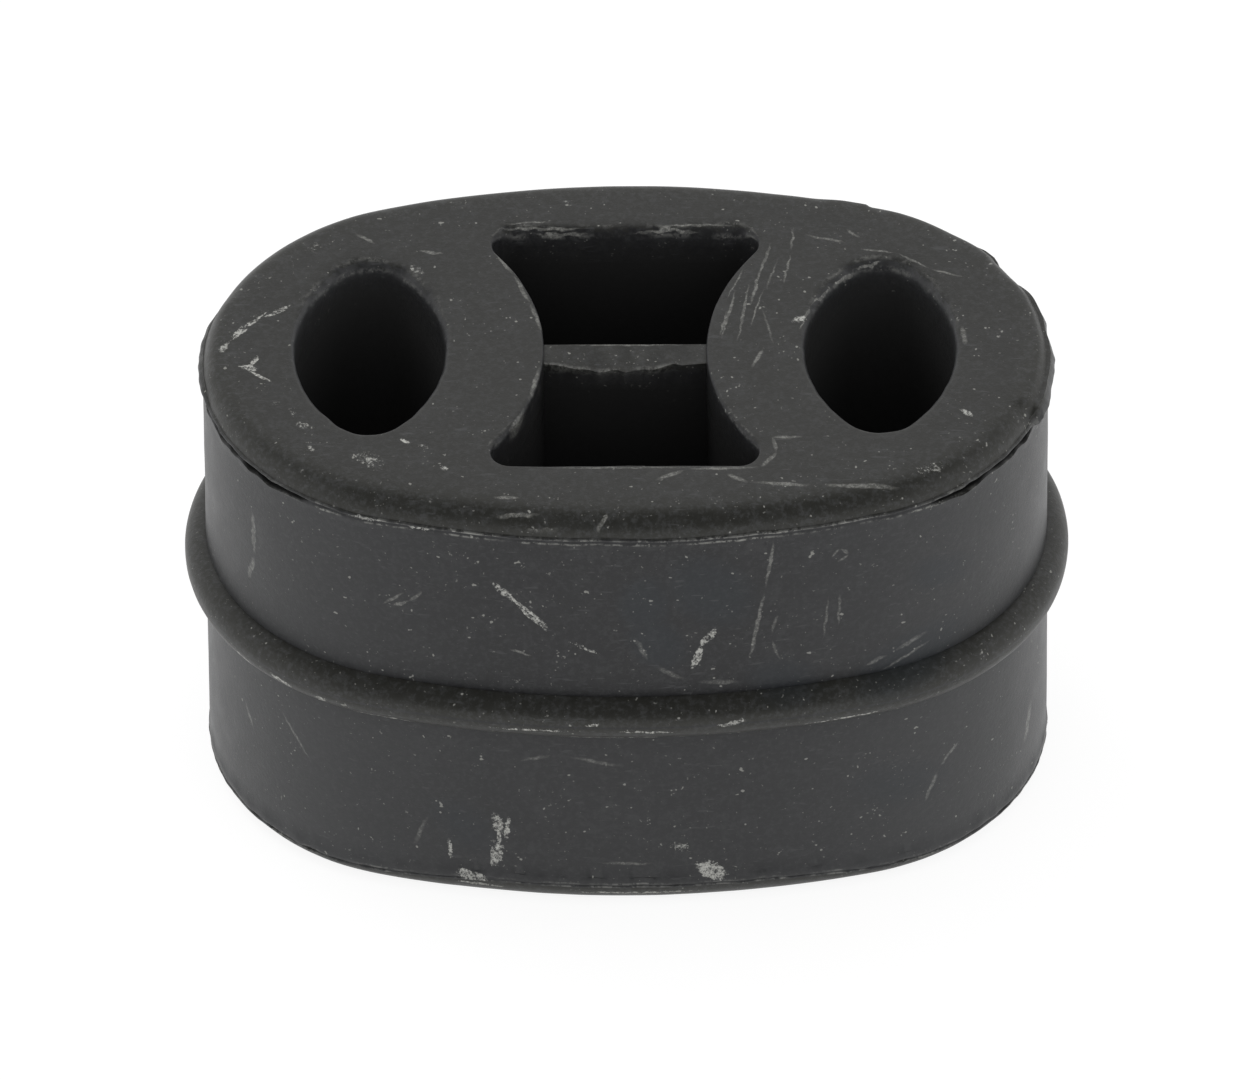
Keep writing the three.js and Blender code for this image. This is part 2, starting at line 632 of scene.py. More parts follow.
@dataclass
class HangerBlock:
    """The rubber moulding: an oval block with a bead, two bores and a waisted cavity with a web.

    Attributes:
        bead_wear: Places along X between which the bead's lower half gets more scuffed.
        bead_edge: Angles round the bead between which its scuffs come in.
        bead_scuff: How scuffed the bead's lower half is.
        bead_scuff_gain: What is added to that where it is worn most.
        wall_band: Shares of the wall's height between which its rows lie.
        root_row: How far above the bead's root the wall's first row lies.
        rim_rise: How far the rim starts past the parting line.
        low_rim: How much lower the bottom rim is at the ends.
        low_rim_band: How squarely an end is faced where that starts, and where it is whole.
        shoulder_width: How far the top face's edge droops inwards of the rim.
        shoulder_drop: How far it droops at the front.
        shoulder_band: How squarely the front is faced where that starts, and where it is whole.
        rear_narrowing: Share of the rim's width that is missing at the rear.
        rear_band: How squarely the rear is faced where that starts, and where it is whole.
        flap_narrowing: Share of the rim's width that a flap takes.
        flap_rise: How far the flash stands up where it lies against the rim.
        flap_film: Share of the film of flash that a flap carries outwards.
        film_side: Share of the upper film of flash that stands along the sides.
        film_end: What is added to that at the ends.
        gape_band: How squarely an end is faced where crevices start, and where they are whole.
        scuff_band: How squarely the front is faced where the line's scuffs start, and where they are whole.
        least_scuff: Share of the scuffs on the upper line elsewhere.
        low_scuff: Share of them on the lower line.
        crevice_painted_shade: How much painted shade the deepest crevices take.
        crevice_band: Depths at which a crevice starts to take its painted shade, and at which it takes all of
            it.
        first_row: Depth of a bore's first row, as a share of its mouth's usual radius.
        row_power: How much closer the rows of an opening's wall lie near its mouths.
        dark_start: How deep a pocket's wall starts to take its painted shade.
        dark_depth: How deep an opening's wall takes all of its painted shade.
        pocket_painted_shade: How much near-black painted shade lies deep in a pocket.
        far_edge_painted_shade: How much painted shade the cavity's rear edge takes.
        far_band: How squarely that edge is faced where it starts, and where it is whole.
        rear_mouth: How much rounder the cavity's rear edge is.
        tongues: Where the film of flash stands out from the upper parting line.
        flaps: Where it stands up against the rim.
        crevices: Where a crevice runs under it.
        wave_height: How uneven the faces are.
        wave_length: How far apart their waves are.
        ripple_height: Height of the shorter waves on them, as a share.
        ripple_count: How many of those go on one long wave.
    """

    material: bpy.types.Material
    bead_reach: float = 1.55
    bead_height: float = 3.5
    bead_land: float = 0.3
    bead_wear: Band = (-12.0, -20.0)
    bead_edge: Band = (50.0, 85.0)
    bead_scuff: float = 0.5
    bead_scuff_gain: float = 0.4
    bead_steps: int = 11
    side_bow: float = 1.9
    wall_steps: int = 12
    wall_band: Band = (0.05, 0.94)
    root_row: float = 0.25
    rim_height: float = 1.9
    rim_width: float = 1.5
    rim_rise: float = 0.28
    rim_angles: tuple[float, ...] = (8, 17, 26, 35, 44, 53, 62, 70, 77)
    low_rim: float = 0.4
    low_rim_band: Band = (0.45, 0.9)
    rear_narrowing: float = 0.1
    rear_band: Band = (0.3, 0.9)
    shoulder_width: float = 1.8
    shoulder_drop: float = 0.13
    shoulder_band: Band = (-0.1, 0.4)
    shoulder_shares: tuple[float, ...] = (0.15, 0.32, 0.5, 0.75, 1.0)
    parting_step: float = 0.1
    bore_spacing: float = 37.4
    bore_width: float = 11.0
    bore_length: float = 19.2
    bore_tip_radius: float = 3.0
    bore_mouth: float = 0.85
    inner_wall: float = 7.25
    cavity_width: float = 26.8
    cavity_side_radius: float = 18.85
    cavity_corner_radius: float = 1.5
    cavity_mouth: float = 0.45
    rear_mouth: float = 0.9
    # Painted shade on the cavity's rear edge
    far_edge_painted_shade: float = 0.3
    far_band: Band = (0.8, 1.0)
    worn_mouth: Mouth = Mouth()
    first_row: float = 1.4
    row_power: float = 1.6
    depth_steps: int = 8
    # Painted shade deep in the openings, and near-black painted shade deep in the pockets
    dark_start: float = 0.4
    dark_depth: float = 3.5
    pocket_painted_shade: float = 0.4
    web_thickness: float = 2.2
    web_recess: float = 0.6
    worn_web: WebEdge = WebEdge()
    wall_spacing: float = 0.28
    opening_spacing: float = 0.35
    face_spacing: float = 1.0
    crease_angle: float = 42.0
    wave_height: float = 0.035
    wave_length: float = 7.0
    ripple_height: float = 0.4
    ripple_count: float = 3.1
    upper_line: PartingLine = parting_line(1.0, 10)
    lower_line: PartingLine = parting_line(0.6, 40)
    tongues: tuple[Tear, ...] = (
        Tear(347.3, 8.0, 0.42, 1.0, 8.0),
        Tear(346.8, 354.0, 0.25, 1.0, 3.0),
        Tear(5.0, 18.0, 0.35, 3.0, 6.0),
        Tear(18.0, 44.0, 0.16, 3.0, 8.0),
        Tear(21.0, 29.0, 0.22, 2.0, 5.0),
        Tear(44.0, 52.0, 0.45, 1.0, 5.0),
        Tear(168.5, 190.0, 0.24, 3.0, 8.0),
        Tear(95.0, 118.0, 0.18, 6.0, 5.0),
    )
    flaps: tuple[Tear, ...] = (
        Tear(346.0, 18.0, 0.8, 3.0, 7.0),
        Tear(10.0, 46.0, 0.35, 6.0, 8.0),
        Tear(20.5, 30.0, 0.35, 2.0, 6.0),
        Tear(43.0, 53.0, 0.5, 1.0, 6.0),
        Tear(166.0, 188.0, 0.35, 4.0, 4.0),
    )
    flap_rise: float = 1.1
    flap_film: float = 0.7
    flap_narrowing: float = 0.6
    film_side: float = 0.6
    film_end: float = 0.8
    crevices: tuple[Tear, ...] = (
        Tear(185.0, 216.0, 0.38, 4.0, 7.0),
        Tear(199.0, 208.0, 0.20, 3.0, 3.0),
        Tear(322.0, 348.0, 0.55, 10.0, 2.0),
    )
    gape_band: Band = (0.6, 0.9)
    scuff_band: Band = (0.30, 0.6)
    least_scuff: float = 0.35
    low_scuff: float = 0.6
    # Painted shade in the crevices under the flash
    crevice_painted_shade: float = 0.8
    crevice_band: Band = (0.08, 0.4)
    length: float = field(init=False)
    width: float = field(init=False)
    height: float = field(init=False)

    def __post_init__(self) -> None:
        """Takes the block's own length, width and height from the frame."""
        low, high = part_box(NODE)
        self.length = (high.x - low.x) / MM - 2 * self.bead_reach
        self.width = (high.y - low.y) / MM - 2 * self.bead_reach
        self.height = (high.z - low.z) / MM

    def build(self) -> bpy.types.Object:
        """Makes the moulding.

        Returns:
            The finished object, in place in the frame.
        """
        mesh = MeshBuilder()
        outer = ring_of(oval(self.length, self.width, self.width / 2 - self.side_bow), self.wall_spacing)
        crest = mesh.add(outer.level(self.bead_reach, self.height / 2))
        rims = {side: self.half_wall(mesh, outer, crest, side) for side in Side}
        mouths: dict[Side, list[np.ndarray]] = {side: [] for side in Side}
        for place in (-1, 1):
            for side, ring in self.bore(mesh, place).items():
                mouths[side].append(ring)
        for side, ring in self.cavity(mesh).items():
            mouths[side].append(ring)
        for side in Side:
            z = self.height if side is Side.TOP else 0.0
            mesh.fill(rims[side], mouths[side], z, self.face_spacing)
        piece = mesh.finish("moulded_block", self.material, self.crease_angle)
        self.uneven(piece)
        return piece

    def half_wall(self, mesh: MeshBuilder, outer: Ring, crest: np.ndarray, side: Side) -> np.ndarray:
        """The outside from the bead's crest to one flat face.

        Args:
            mesh: The mesh to add to.
            outer: The wall's outline.
            crest: Indices of the bead's crest.
            side: Which face it runs to.

        Returns:
            Indices of the ring where the rim meets the flat face.
        """
        middle = self.height / 2
        row = crest
        for grow, rise, zones in self.outside_rows(outer, side):
            ring = mesh.add(outer.level(grow, middle + side.value * rise), zones)
            mesh.bridge(row, ring)
            row = ring
        return row

    def outside_rows(self, outer: Ring, side: Side) -> list[Row]:
        """The section of the outside, from the bead's crest to the flat face.

        Args:
            outer: The wall's outline.
            side: Which face it runs to.

        Returns:
            The rows in order.
        """
        low = np.zeros(len(outer.points))
        if side is Side.BOTTOM:
            low = self.low_rim * smooth_step(outer.endwise, *self.low_rim_band)
        parting = self.height / 2 - self.rim_height * (1.0 - low)
        return [
            *self.bead_rows(outer, side, parting),
            *self.parting_rows(outer, side, parting),
            *self.rim_rows(outer, side, parting, low),
        ]

    def bead_rows(self, outer: Ring, side: Side, parting: np.ndarray) -> list[Row]:
        """The bead from its crest to its root, and the wall from there to the parting line.

        Args:
            outer: The wall's outline.
            side: Which face the rows run to.
            parting: The line's distance from mid-height at each point.

        Returns:
            The rows in order.
        """
        rise = self.bead_reach + self.parting_step
        flank = (self.bead_height - self.bead_land) / 2
        worn = 0.0
        if side is Side.BOTTOM:
            wear = smooth_step(outer.points[:, 0], *self.bead_wear)
            worn = self.bead_scuff + self.bead_scuff_gain * wear
        rows = []
        for angle in np.linspace(0.0, math.pi / 2, self.bead_steps)[:-1]:
            grow = rise * math.cos(angle) - self.parting_step
            if grow > 0.0:
                edge = float(smooth_step(math.degrees(angle), *self.bead_edge))
                height = self.bead_land / 2 + flank * math.sin(angle)
                rows.append(Row(grow, height, {Zone.SCUFF: worn * edge, Zone.RIM: 1.0}))
        root = flank * math.sqrt(1.0 - (self.parting_step / rise) ** 2) + self.bead_land / 2
        rows.append(Row(0.0, root, {Zone.SCUFF: worn}))
        rows.append(Row(0.0, root + self.root_row, {}))
        for share in np.linspace(*self.wall_band, self.wall_steps):
            rows.append(Row(0.0, root + (parting - root) * share, {}))
        return rows

    def rim_rows(self, outer: Ring, side: Side, parting: np.ndarray, low: np.ndarray) -> list[Row]:
        """The rounded rim, and the drooping edge of the flat face inside it.

        Args:
            outer: The wall's outline.
            side: Which face the rows run to.
            parting: The parting line's distance from mid-height at each point.
            low: How much lower the rim is than elsewhere, as a share.

        Returns:
            The rows in order.
        """
        face = self.height / 2
        rim_height = self.rim_height * (1.0 - low)
        shoulder = self.shoulder_drop * smooth_step(outer.frontwise, *self.shoulder_band)
        flap = self.flap(outer, side)
        hang = flap * (self.parting_step + self.flap_film * self.flash(outer, side))
        rear = self.rear_narrowing * smooth_step(-outer.frontwise, *self.rear_band)
        width = self.rim_width * (1.0 - self.flap_narrowing * flap - rear)
        lowest = parting + self.rim_rise * (1.0 - low) + self.flap_rise * flap
        rows = []
        for angle in np.radians(self.rim_angles):
            inset = self.parting_step + width * (1.0 - math.cos(angle)) - hang * (1.0 - math.sin(angle))
            drop = rim_height - (rim_height - shoulder) * math.sin(angle)
            rows.append(Row(-inset, np.maximum(face - drop, lowest), {Zone.RIM: 1.0}))
        for share in self.shoulder_shares:
            reach = inset + self.shoulder_width * share
            rows.append(Row(-reach, face - shoulder * (1.0 - share) ** 2, {Zone.RIM: 1.0 - share}))
        return rows

    def flap(self, outer: Ring, side: Side) -> np.ndarray:
        """How far the flash stands up against the rim.

        Args:
            outer: The wall's outline.
            side: Which face the rim belongs to.

        Returns:
            A share from 0 to 1 at each point.
        """
        if side is Side.BOTTOM:
            return np.zeros(len(outer.points))
        return np.clip(sum(flap.along(outer.bearing) for flap in self.flaps), 0.0, 1.0)

    def flash(self, outer: Ring, side: Side) -> np.ndarray:
        """How far the film of flash stands out along one parting line.

        Args:
            outer: The wall's outline.
            side: Which face the line belongs to.

        Returns:
            The reach at each point.
        """
        if side is Side.BOTTOM:
            return self.lower_line.film.along(outer.share)
        standing = self.film_side + self.film_end * outer.endwise
        reach = self.upper_line.film.along(outer.share) * standing
        return reach + sum(tongue.along(outer.bearing) for tongue in self.tongues)

    def crevice(self, outer: Ring, side: Side, line: PartingLine) -> np.ndarray:
        """How deep the crevice under the flash is.

        Args:
            outer: The wall's outline.
            side: Which face the line belongs to.
            line: The parting line.

        Returns:
            The depth at each point.
        """
        depth = line.size * line.gape.along(outer.share) * smooth_step(outer.endwise, *self.gape_band)
        if side is Side.TOP:
            for gap in self.crevices:
                depth = depth + gap.along(outer.bearing)
        return depth * line.notches.along(outer.share)

    def parting_rows(self, outer: Ring, side: Side, parting: np.ndarray) -> list[Row]:
        """The parting line: the wall's lip, the crevice over it, and the film of flash.

        Args:
            outer: The wall's outline.
            side: Which face it belongs to.
            parting: The line's distance from mid-height at each point.

        Returns:
            The rows in order.
        """
        line = self.upper_line if side is Side.TOP else self.lower_line
        reach = self.flash(outer, side)
        crevice = self.crevice(outer, side, line)
        lip = line.lip.along(outer.share)
        scuff = self.low_scuff
        if side is Side.TOP:
            scuff = np.maximum(smooth_step(outer.frontwise, *self.scuff_band), self.least_scuff)
        line_scuff = scuff * line.line_scuff.along(outer.share)
        lip_scuff = scuff * line.lip_scuff.along(outer.share)
        # Painted shade: the deeper the crevice under the flash, the more near-black its rows take
        deep = self.crevice_painted_shade * smooth_step(crevice, *self.crevice_band)
        level = parting + line.size * line.wander.along(outer.share)
        foot = level - line.size * (0.16 + 0.6 * crevice)
        flap = self.flap(outer, side)
        rise = self.flap_rise * flap
        inner = flap * (self.parting_step + self.flap_film * reach) - self.parting_step
        # Up the wall's lip, into the crevice and out of it, then along the film's underside and back over it
        return [
            Row(lip * 0.5, foot - 0.75, {}),
            Row(lip * 0.9, foot - 0.34, {}),
            Row(lip, foot - 0.20, {Zone.SCUFF: lip_scuff}),
            Row(lip * 0.5 - crevice * 0.4, foot - 0.09, {Zone.CREASE: deep}),
            Row(-crevice, foot, {Zone.CREASE: deep}),
            Row(-crevice, level - 0.12, {Zone.CREASE: deep}),
            Row(reach * 0.8, level - 0.05, {Zone.SCUFF: line_scuff * (1.0 - deep)}),
            Row(reach, level + 0.5 * rise, {Zone.SCUFF: line_scuff * (1.0 - 0.7 * deep)}),
            Row(np.maximum(reach * 0.7, inner), level + 0.06 + 0.9 * rise, {Zone.SCUFF: line_scuff * 0.4}),
            Row(inner, level + 0.16 * line.size + rise, {Zone.RIM: 1.0}),
        ]

    @property
    def first_depth(self) -> float:
        """Depth of a bore's first row, just below the round of its mouth."""
        return self.bore_mouth * self.first_row

    def depths(self) -> list[float]:
        """Where an opening's wall has its rows.

        Returns:
            Depths below one face, down to mid-height.
        """
        start, middle = self.first_depth, self.height / 2
        shares = np.linspace(0.0, 1.0, self.depth_steps + 1)[1:]
        return [start + (middle - start) * share**self.row_power for share in shares]

    def mouth_radius(self, ring: Ring, size: float, seed: int) -> np.ndarray:
        """The radius of an opening's rounded mouth, which is wide at the rear and tight at the front.

        Args:
            ring: The opening's outline.
            size: The usual radius.
            seed: Picks how it wanders.

        Returns:
            The radius at each point.
        """
        worn = self.worn_mouth
        rear = smooth_step(ring.outward[:, 1], *worn.rear_band)
        wander = Ripple(*worn.noise, worn.noise_waves, seed).along(ring.share)
        return size * (worn.front + worn.rear_gain * rear) * wander

    def mouth(
        self, mesh: MeshBuilder, ring: Ring, side: Side, row: np.ndarray, radius: np.ndarray
    ) -> np.ndarray:
        """The rounded edge between an opening's wall and the flat face.

        Args:
            mesh: The mesh to add to.
            ring: The opening's outline.
            side: Which face it is.
            row: Indices of the wall's row just below the round.
            radius: The round's radius at each point.

        Returns:
            Indices of the ring in the flat face.
        """
        face = self.height if side is Side.TOP else 0.0
        worn = self.worn_mouth
        rear = smooth_step(ring.outward[:, 1], *worn.rough_band)
        for number, angle in enumerate(np.linspace(math.pi / 2, 0.0, worn.steps + 1)[1:]):
            chips = Ripple(*worn.rough, worn.rough_waves, number).along(ring.share)
            rough = chips * rear * math.sin(2 * angle)
            grow = radius * (1.0 - math.sin(angle)) + rough
            drop = radius * (1.0 - math.cos(angle)) + rough
            scuff = worn.scuff if number in worn.scuffed else 0.0
            new = mesh.add(ring.level(grow, face - side.value * drop), {Zone.SCUFF: scuff * rear})
            mesh.bridge(row, new)
            row = new
        return row

    def bore(self, mesh: MeshBuilder, place: int) -> dict[Side, np.ndarray]:
        """One rod bore.

        Args:
            mesh: The mesh to add to.
            place: -1 for the bore on the -X side, 1 for the other.

        Returns:
            For each face, the indices of the bore's ring in it.
        """
        lens = oval(self.bore_length, self.bore_width, self.bore_tip_radius, turned=True)
        ring = ring_of(lens, self.opening_spacing, (place * self.bore_spacing / 2, 0.0))
        # The bore's middle row takes all of the painted shade
        middle = mesh.add(ring.level(0.0, self.height / 2), {Zone.INSIDE: 1.0})
        mouths = {}
        for side in Side:
            row = middle
            for depth in reversed(self.depths()[:-1]):
                row = self.opening_row(mesh, ring, side, depth, row)
            row = self.opening_row(mesh, ring, side, self.first_depth, row)
            radius = self.mouth_radius(ring, self.bore_mouth, 10 + place + side.value)
            mouths[side] = self.mouth(mesh, ring, side, row, radius)
        return mouths

    def opening_row(
        self, mesh: MeshBuilder, ring: Ring, side: Side, depth: float, row: np.ndarray
    ) -> np.ndarray:
        """Adds one row to an opening's wall.

        Args:
            mesh: The mesh to add to.
            ring: The opening's outline.
            side: The face that the depth is counted from.
            depth: How deep the row lies.
            row: Indices of the row before it.

        Returns:
            The new row's indices.
        """
        z = self.height - depth if side is Side.TOP else depth
        # Painted shade: deeper rows take more of the flat, gloss-free inside colour
        shade = float(smooth_step(depth, 0.0, self.dark_depth))
        new = mesh.add(ring.level(0.0, z), {Zone.INSIDE: shade})
        mesh.bridge(row, new)
        return new

    def cavity_outline(self) -> list[Arc | Line]:
        """The cavity's outline, anticlockwise from the web's front right corner.

        Returns:
            Its stretches, end to end.
        """
        half_web = self.web_thickness / 2
        side_centre = (self.bore_spacing - self.bore_width) / 2 - self.inner_wall + self.cavity_side_radius
        corner_y = self.cavity_width / 2 - self.cavity_corner_radius
        reach = self.cavity_side_radius + self.cavity_corner_radius
        corner_x = side_centre - math.sqrt(reach**2 - corner_y**2)
        turn = math.atan2(corner_y, side_centre - corner_x)
        web_turn = math.asin(half_web / self.cavity_side_radius)
        radius, corner = self.cavity_side_radius, self.cavity_corner_radius
        half = self.cavity_width / 2
        quarter = math.pi / 2
        right, left = (side_centre, 0.0), (-side_centre, 0.0)
        return [
            Arc(right, radius, math.pi + web_turn, -2 * web_turn),
            Arc(right, radius, math.pi - web_turn, web_turn - turn),
            Arc((corner_x, corner_y), corner, -turn, quarter + turn),
            Line((corner_x, half), (-corner_x, half)),
            Arc((-corner_x, corner_y), corner, quarter, quarter + turn),
            Arc(left, radius, turn, web_turn - turn),
            Arc(left, radius, web_turn, -2 * web_turn),
            Arc(left, radius, -web_turn, web_turn - turn),
            Arc((-corner_x, -corner_y), corner, math.pi - turn, quarter + turn),
            Line((-corner_x, -half), (corner_x, -half)),
            Arc((corner_x, -corner_y), corner, -quarter, quarter + turn),
            Arc(right, radius, math.pi + turn, web_turn - turn),
        ]

    def cavity(self, mesh: MeshBuilder) -> dict[Side, np.ndarray]:
        """The cavity's two pockets and the web between them.

        Args:
            mesh: The mesh to add to.

        Returns:
            For each face, the indices of the cavity's ring in it.
        """
        ring = ring_of(self.cavity_outline(), self.opening_spacing)
        right_web, rear_start, left_web, front_start = (ring.joints[i] for i in (0, 1, 6, 7))
        rear = np.arange(rear_start, left_web + 1)
        front = np.append(np.arange(front_start, len(ring.points)), 0)
        mouths = {}
        rims = {}
        far_edge = smooth_step(ring.outward[:, 1], *self.far_band)
        for side in Side:
            radius = self.mouth_radius(ring, self.cavity_mouth, 30 + side.value)
            radius = radius * (1.0 + self.rear_mouth * far_edge)
            depth = np.maximum(self.web_recess, radius)
            z = self.height - depth if side is Side.TOP else depth
            # Painted shade on the rear edge of the cavity's mouth
            level = mesh.add(ring.level(0.0, z), {Zone.INSIDE: self.far_edge_painted_shade * far_edge})
            mouths[side] = self.mouth(mesh, ring, side, level, radius)
            left_side = level[np.arange(left_web, front_start + 1)]
            right_side = level[np.arange(rear_start, right_web - 1, -1)]
            grid = self.web_edge(mesh, left_side, right_side, side)
            rims[side] = {
                "rear": np.append(level[rear], grid[0][1:-1]),
                "front": np.append(level[front], grid[-1][1:-1][::-1]),
            }
        for pocket, part in (("rear", rear), ("front", front)):
            self.pocket(mesh, ring, part, pocket, rims)
        return mouths

    def web_edge(
        self, mesh: MeshBuilder, left: np.ndarray, right: np.ndarray, side: Side
    ) -> list[np.ndarray]:
        """The web's narrow face, recessed below the flat face.

        Args:
            mesh: The mesh to add to.
            left: Indices along the left end, from the rear to the front.
            right: Indices along the right end, from the rear to the front.
            side: Which face it lies below.

        Returns:
            Rows of indices from the rear to the front, each from left to right.
        """
        columns = int(self.cavity_width / self.opening_spacing)
        across = np.linspace(0.0, 1.0, columns)[1:-1]
        rows = []
        ends = zip(mesh.position(left), mesh.position(right))
        worn = self.worn_web
        places = across * worn.ripple_share
        sag, ragged = worn.sag.along(places), worn.rag.along(places)
        droop = worn.droop * smooth_step(across, *worn.left) * smooth_step(across, *worn.right)
        scuffed = smooth_step(across, *worn.scuff_right)
        middle = np.sin(math.pi * across)
        for number, (start, end) in enumerate(ends):
            share = number / (len(left) - 1)
            points = start + across[:, None] * (end - start)
            if side is Side.TOP:
                points[:, 2] -= sag * middle * share
                edge = float(smooth_step(share, *worn.front))
                points[:, 1] -= (ragged * middle**0.5 + droop) * edge
                points[:, 2] -= worn.sink * droop * edge
            # Painted shade in patches across the web's recessed face
            patchy_shade = Ripple(*worn.patchy_shade, (1, 8), worn.patchy_shade_seed + number // 3).along(places)
            scuff = worn.scuff * float(smooth_step(share, *worn.scuff_front)) * scuffed
            new = mesh.add(points, {Zone.SCUFF: scuff, Zone.RIM: 1.0, Zone.CREASE: patchy_shade})
            rows.append(np.concatenate([[left[number]], new, [right[number]]]))
        for first, second in zip(rows, rows[1:]):
            mesh.bridge(first, second, closed=False)
        return rows

    def pocket(self, mesh: MeshBuilder, ring: Ring, part: np.ndarray, name: str, rims: dict) -> None:
        """The wall of one pocket, from one face's recess to the other's.

        Args:
            mesh: The mesh to add to.
            ring: The cavity's outline.
            part: Which of its points the pocket has.
            name: The pocket's name in rims.
            rims: For each face, each pocket's indices at the web's recess.
        """
        top = rims[Side.TOP][name]
        columns = len(top) - len(part)
        first, last = ring.points[part[0]], ring.points[part[-1]]
        across = np.linspace(0.0, 1.0, columns + 2)[1:-1, None]
        plan = np.concatenate([ring.points[part], last + across * (first - last)])
        below_top = [self.web_recess + self.worn_web.row, *self.depths()[1:]]
        levels = [self.height - depth for depth in below_top] + below_top[-2::-1]
        follow = [*self.worn_web.follow] + [0.0] * (len(levels) - len(self.worn_web.follow))
        row = top
        lean = mesh.position(top)[:, :2] - plan
        for z, share in zip(levels, follow):
            depth = min(z, self.height - z)
            points = np.column_stack([plan + lean * share, np.full(len(plan), z)])
            # Painted shade: deeper rows of a pocket take more of the flat inside colour and of near-black
            shade = float(smooth_step(depth, self.dark_start, self.dark_depth))
            new = mesh.add(points, {Zone.INSIDE: shade, Zone.CREASE: self.pocket_painted_shade * shade})
            mesh.bridge(row, new)
            row = new
        mesh.bridge(row, rims[Side.BOTTOM][name])

    def uneven(self, piece: bpy.types.Object) -> None:
        """Moves the surface in and out a little, as a moulding cools unevenly.

        Args:
            piece: The finished block.
        """
        count = len(piece.data.vertices)
        points, normals = np.empty(count * 3), np.empty(count * 3)
        piece.data.vertices.foreach_get("co", points)
        piece.data.vertices.foreach_get("normal", normals)
        points, normals = points.reshape(-1, 3), normals.reshape(-1, 3)
        places = [Vector(point) for point in points / (self.wave_length * MM)]
        short = [self.ripple_height * noise.noise(place * self.ripple_count) for place in places]
        wave = np.array([noise.noise(place) + extra for place, extra in zip(places, short)])
        points += normals * (wave * self.wave_height * MM)[:, None]
        points[:, 2] = np.clip(points[:, 2], 0.0, self.height * MM)
        piece.data.vertices.foreach_set("co", points.ravel())
        piece.data.update()


@dataclass(frozen=True)
class Cloud:
    """Cloudy noise, as its scale in cycles for each millimetre, its octaves, and the strength of each."""

    scale: float
    detail: float
    roughness: float


